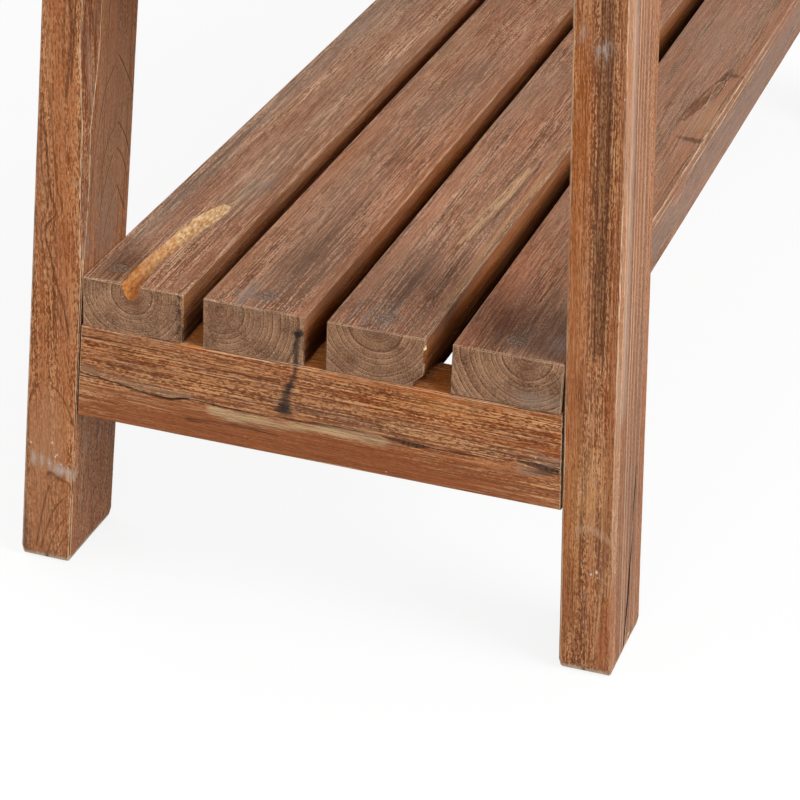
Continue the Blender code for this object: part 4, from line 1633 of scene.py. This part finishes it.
@dataclass
class Seat:
    """Five slats over the end frames, and the aprons under them."""

    slats: int = 5

    def build(self) -> None:
        """Build the slats, their plugs and the aprons."""
        for number in range(1, self.slats + 1):
            node = f"seat_slat_{number}"
            low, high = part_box(node)
            middle = 500.0 * (low.y + high.y)
            lift = 8.0 if number % 2 else -34.0
            heart = (0.0, middle + 6.0 * (number - 3), 485.0 + lift)
            finish = Teak(node, heart, (1.0, 0.008 * (number - 3), 0.006), ring=3.2, seed=83.0 + 4.7 * number,
                          **PINKISH, **SLAT_TONES)
            plugs = [Plug(f"seat_{number}_{end.name.lower()}_filler") for end in End]
            gaps = tuple(sign for sign in (-1, 1) if (number, sign) not in ((1, 1), (self.slats, -1)))
            Board(node, "teak_slat", Axis.X, low, high, finish, *FAR, gaps=gaps,
                  cuts=tuple(plugs)).build()
            for plug in plugs:
                plug.build()
        for side in Side:
            node = f"apron_{side.name.lower()}"
            low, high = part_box(node)
            reach = FRAME.end_face - FRAME.leg_depth - 0.3 * MM
            low.x, high.x = -reach, reach
            heart = (0.0, 150.0 * side.value, 395.0)
            finish = Teak(node, heart, (1.0, 0.0, 0.01), seed=120.0 + 6.0 * side.value)
            Board(node, "teak_rail", Axis.X, low, high, finish, *FAR).build()


@dataclass
class Fixings:
    """The screws under the plugs, which keep their CAD shape."""

    finish: ZincSteel = ZincSteel()

    def build(self, nodes: dict[str, bpy.types.Object]) -> None:
        """Plate every screw.

        Args:
            nodes: the CAD nodes by name.
        """
        for name, screw in nodes.items():
            if name.endswith("_screw"):
                screw.data.materials.clear()
                screw.data.materials.append(self.finish.material())
                LOG.info("%s: plated", name)


@dataclass
class Studio:
    """Floor, light and camera.

    Attributes:
        place: where the camera stands.
        heading, dip, roll: where it looks, in degrees, from +X towards +Y, down and clockwise.
        focal_pixels: its focal length in pixels of the photograph.
    """

    place: Point = (-1.7943, -0.4530, 0.8613)
    heading: float = 16.968
    dip: float = 27.235
    roll: float = 2.824
    focal_pixels: float = 2846.7

    def build(self) -> None:
        """Set up the whole studio."""
        bpy.context.scene.view_settings.view_transform = "Standard"
        self.floor()
        self.world()
        self.lamp("key", (-0.9, -2.6, 2.3), (-0.2, 0.0, 0.2), 2.0, 95.0)
        self.lamp("front", (-3.2, -0.4, 1.3), (-0.3, 0.0, 0.2), 1.8, 30.0)
        self.lamp("back", (1.0, 2.6, 2.0), (0.0, 0.0, 0.2), 2.0, 30.0)
        self.camera()

    def floor(self) -> None:
        """Lay a seamless floor."""
        deselect()
        bpy.ops.mesh.primitive_plane_add(size=14.0, location=(0.0, 0.0, -0.0008))
        floor = bpy.context.object
        floor.name = "floor"
        floor.data.materials.append(new_material("matt_white_paper", self.paper))

    def paper(self, add: Add) -> Socket:
        """Shade matt white paper, which lends the bench little light of its own.

        Args:
            add: adds a node.

        Returns:
            The shader.
        """
        rays = add("LightPath").node.outputs
        seen = add("Math", {0: rays["Is Camera Ray"], 1: rays["Is Glossy Ray"]}, operation="MAXIMUM")
        seen = add("Math", {0: seen, 1: rays["Is Transmission Ray"]}, operation="MAXIMUM")
        tint = add("Mix", {0: seen, 6: linear("#8A8A8A"), 7: linear("#F6F6F6")}, **RGBA)
        matt = add("BsdfPrincipled", {"Base Color": tint, "Roughness": 1.0, "Specular IOR Level": 0.0})
        glow = add("Emission", {"Color": linear("#FFFFFF"), "Strength": 1.0})
        share = add("Math", {0: seen, 1: 0.86}, operation="MULTIPLY")
        return add("MixShader", {0: share, 1: matt, 2: glow})

    def world(self) -> None:
        """An even white surround."""
        world = bpy.data.worlds.new("white_surround")
        world.use_nodes = True
        tree = world.node_tree
        tree.nodes.clear()
        add = partial(add_node, tree)
        rays = add("LightPath").node.outputs
        seen = add("Math", {0: rays["Is Camera Ray"], 1: rays["Is Transmission Ray"]}, operation="MAXIMUM")
        strength = add("MapRange", {0: seen, 3: 0.55, 4: 1.0})
        light = add("Background", {"Color": linear("#FFFFFF"), "Strength": strength})
        output = tree.nodes.new("ShaderNodeOutputWorld")
        tree.links.new(light, output.inputs["Surface"])
        bpy.context.scene.world = world

    def lamp(self, name: str, place: Point, aim: Point, size: float, watts: float) -> None:
        """Hang one soft square lamp.

        Args:
            name: what it does.
            place: where it hangs.
            aim: the point it faces.
            size: the side of its square.
            watts: its power.
        """
        data = bpy.data.lights.new(f"{name}_softbox", "AREA")
        data.size = size
        data.energy = watts
        lamp = bpy.data.objects.new(data.name, data)
        lamp.location = place
        lamp.rotation_euler = (Vector(aim) - Vector(place)).to_track_quat("-Z", "Y").to_euler()
        bpy.context.scene.collection.objects.link(lamp)

    def camera(self) -> None:
        """Stand the camera where the photograph was taken."""
        heading, dip, roll = (math.radians(angle) for angle in (self.heading, self.dip, self.roll))
        ahead = Vector((math.cos(dip) * math.cos(heading), math.cos(dip) * math.sin(heading), -math.sin(dip)))
        right = Vector((math.sin(heading), -math.cos(heading), 0.0))
        above = right.cross(ahead)
        rolled_right = math.cos(roll) * right + math.sin(roll) * above
        rolled_up = math.cos(roll) * above - math.sin(roll) * right
        data = bpy.data.cameras.new("photo_camera")
        data.sensor_width = SENSOR_MM
        data.lens = self.focal_pixels * SENSOR_MM / PHOTO_PIXELS
        camera = bpy.data.objects.new("photo_camera", data)
        turn = Matrix((rolled_right, rolled_up, -ahead)).transposed().to_4x4()
        camera.matrix_world = Matrix.Translation(self.place) @ turn
        bpy.context.scene.collection.objects.link(camera)
        bpy.context.scene.camera = camera


def main() -> None:
    """Build the bench piece by piece, then the studio."""
    logging.basicConfig(level=logging.INFO, format="%(name)s %(message)s")
    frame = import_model()
    for end in End:
        EndFrame(end).build()
    Shelf().build()
    Seat().build()
    Fixings().build(frame["nodes"])
    Studio().build()


if __name__ == "__main__":
    main()
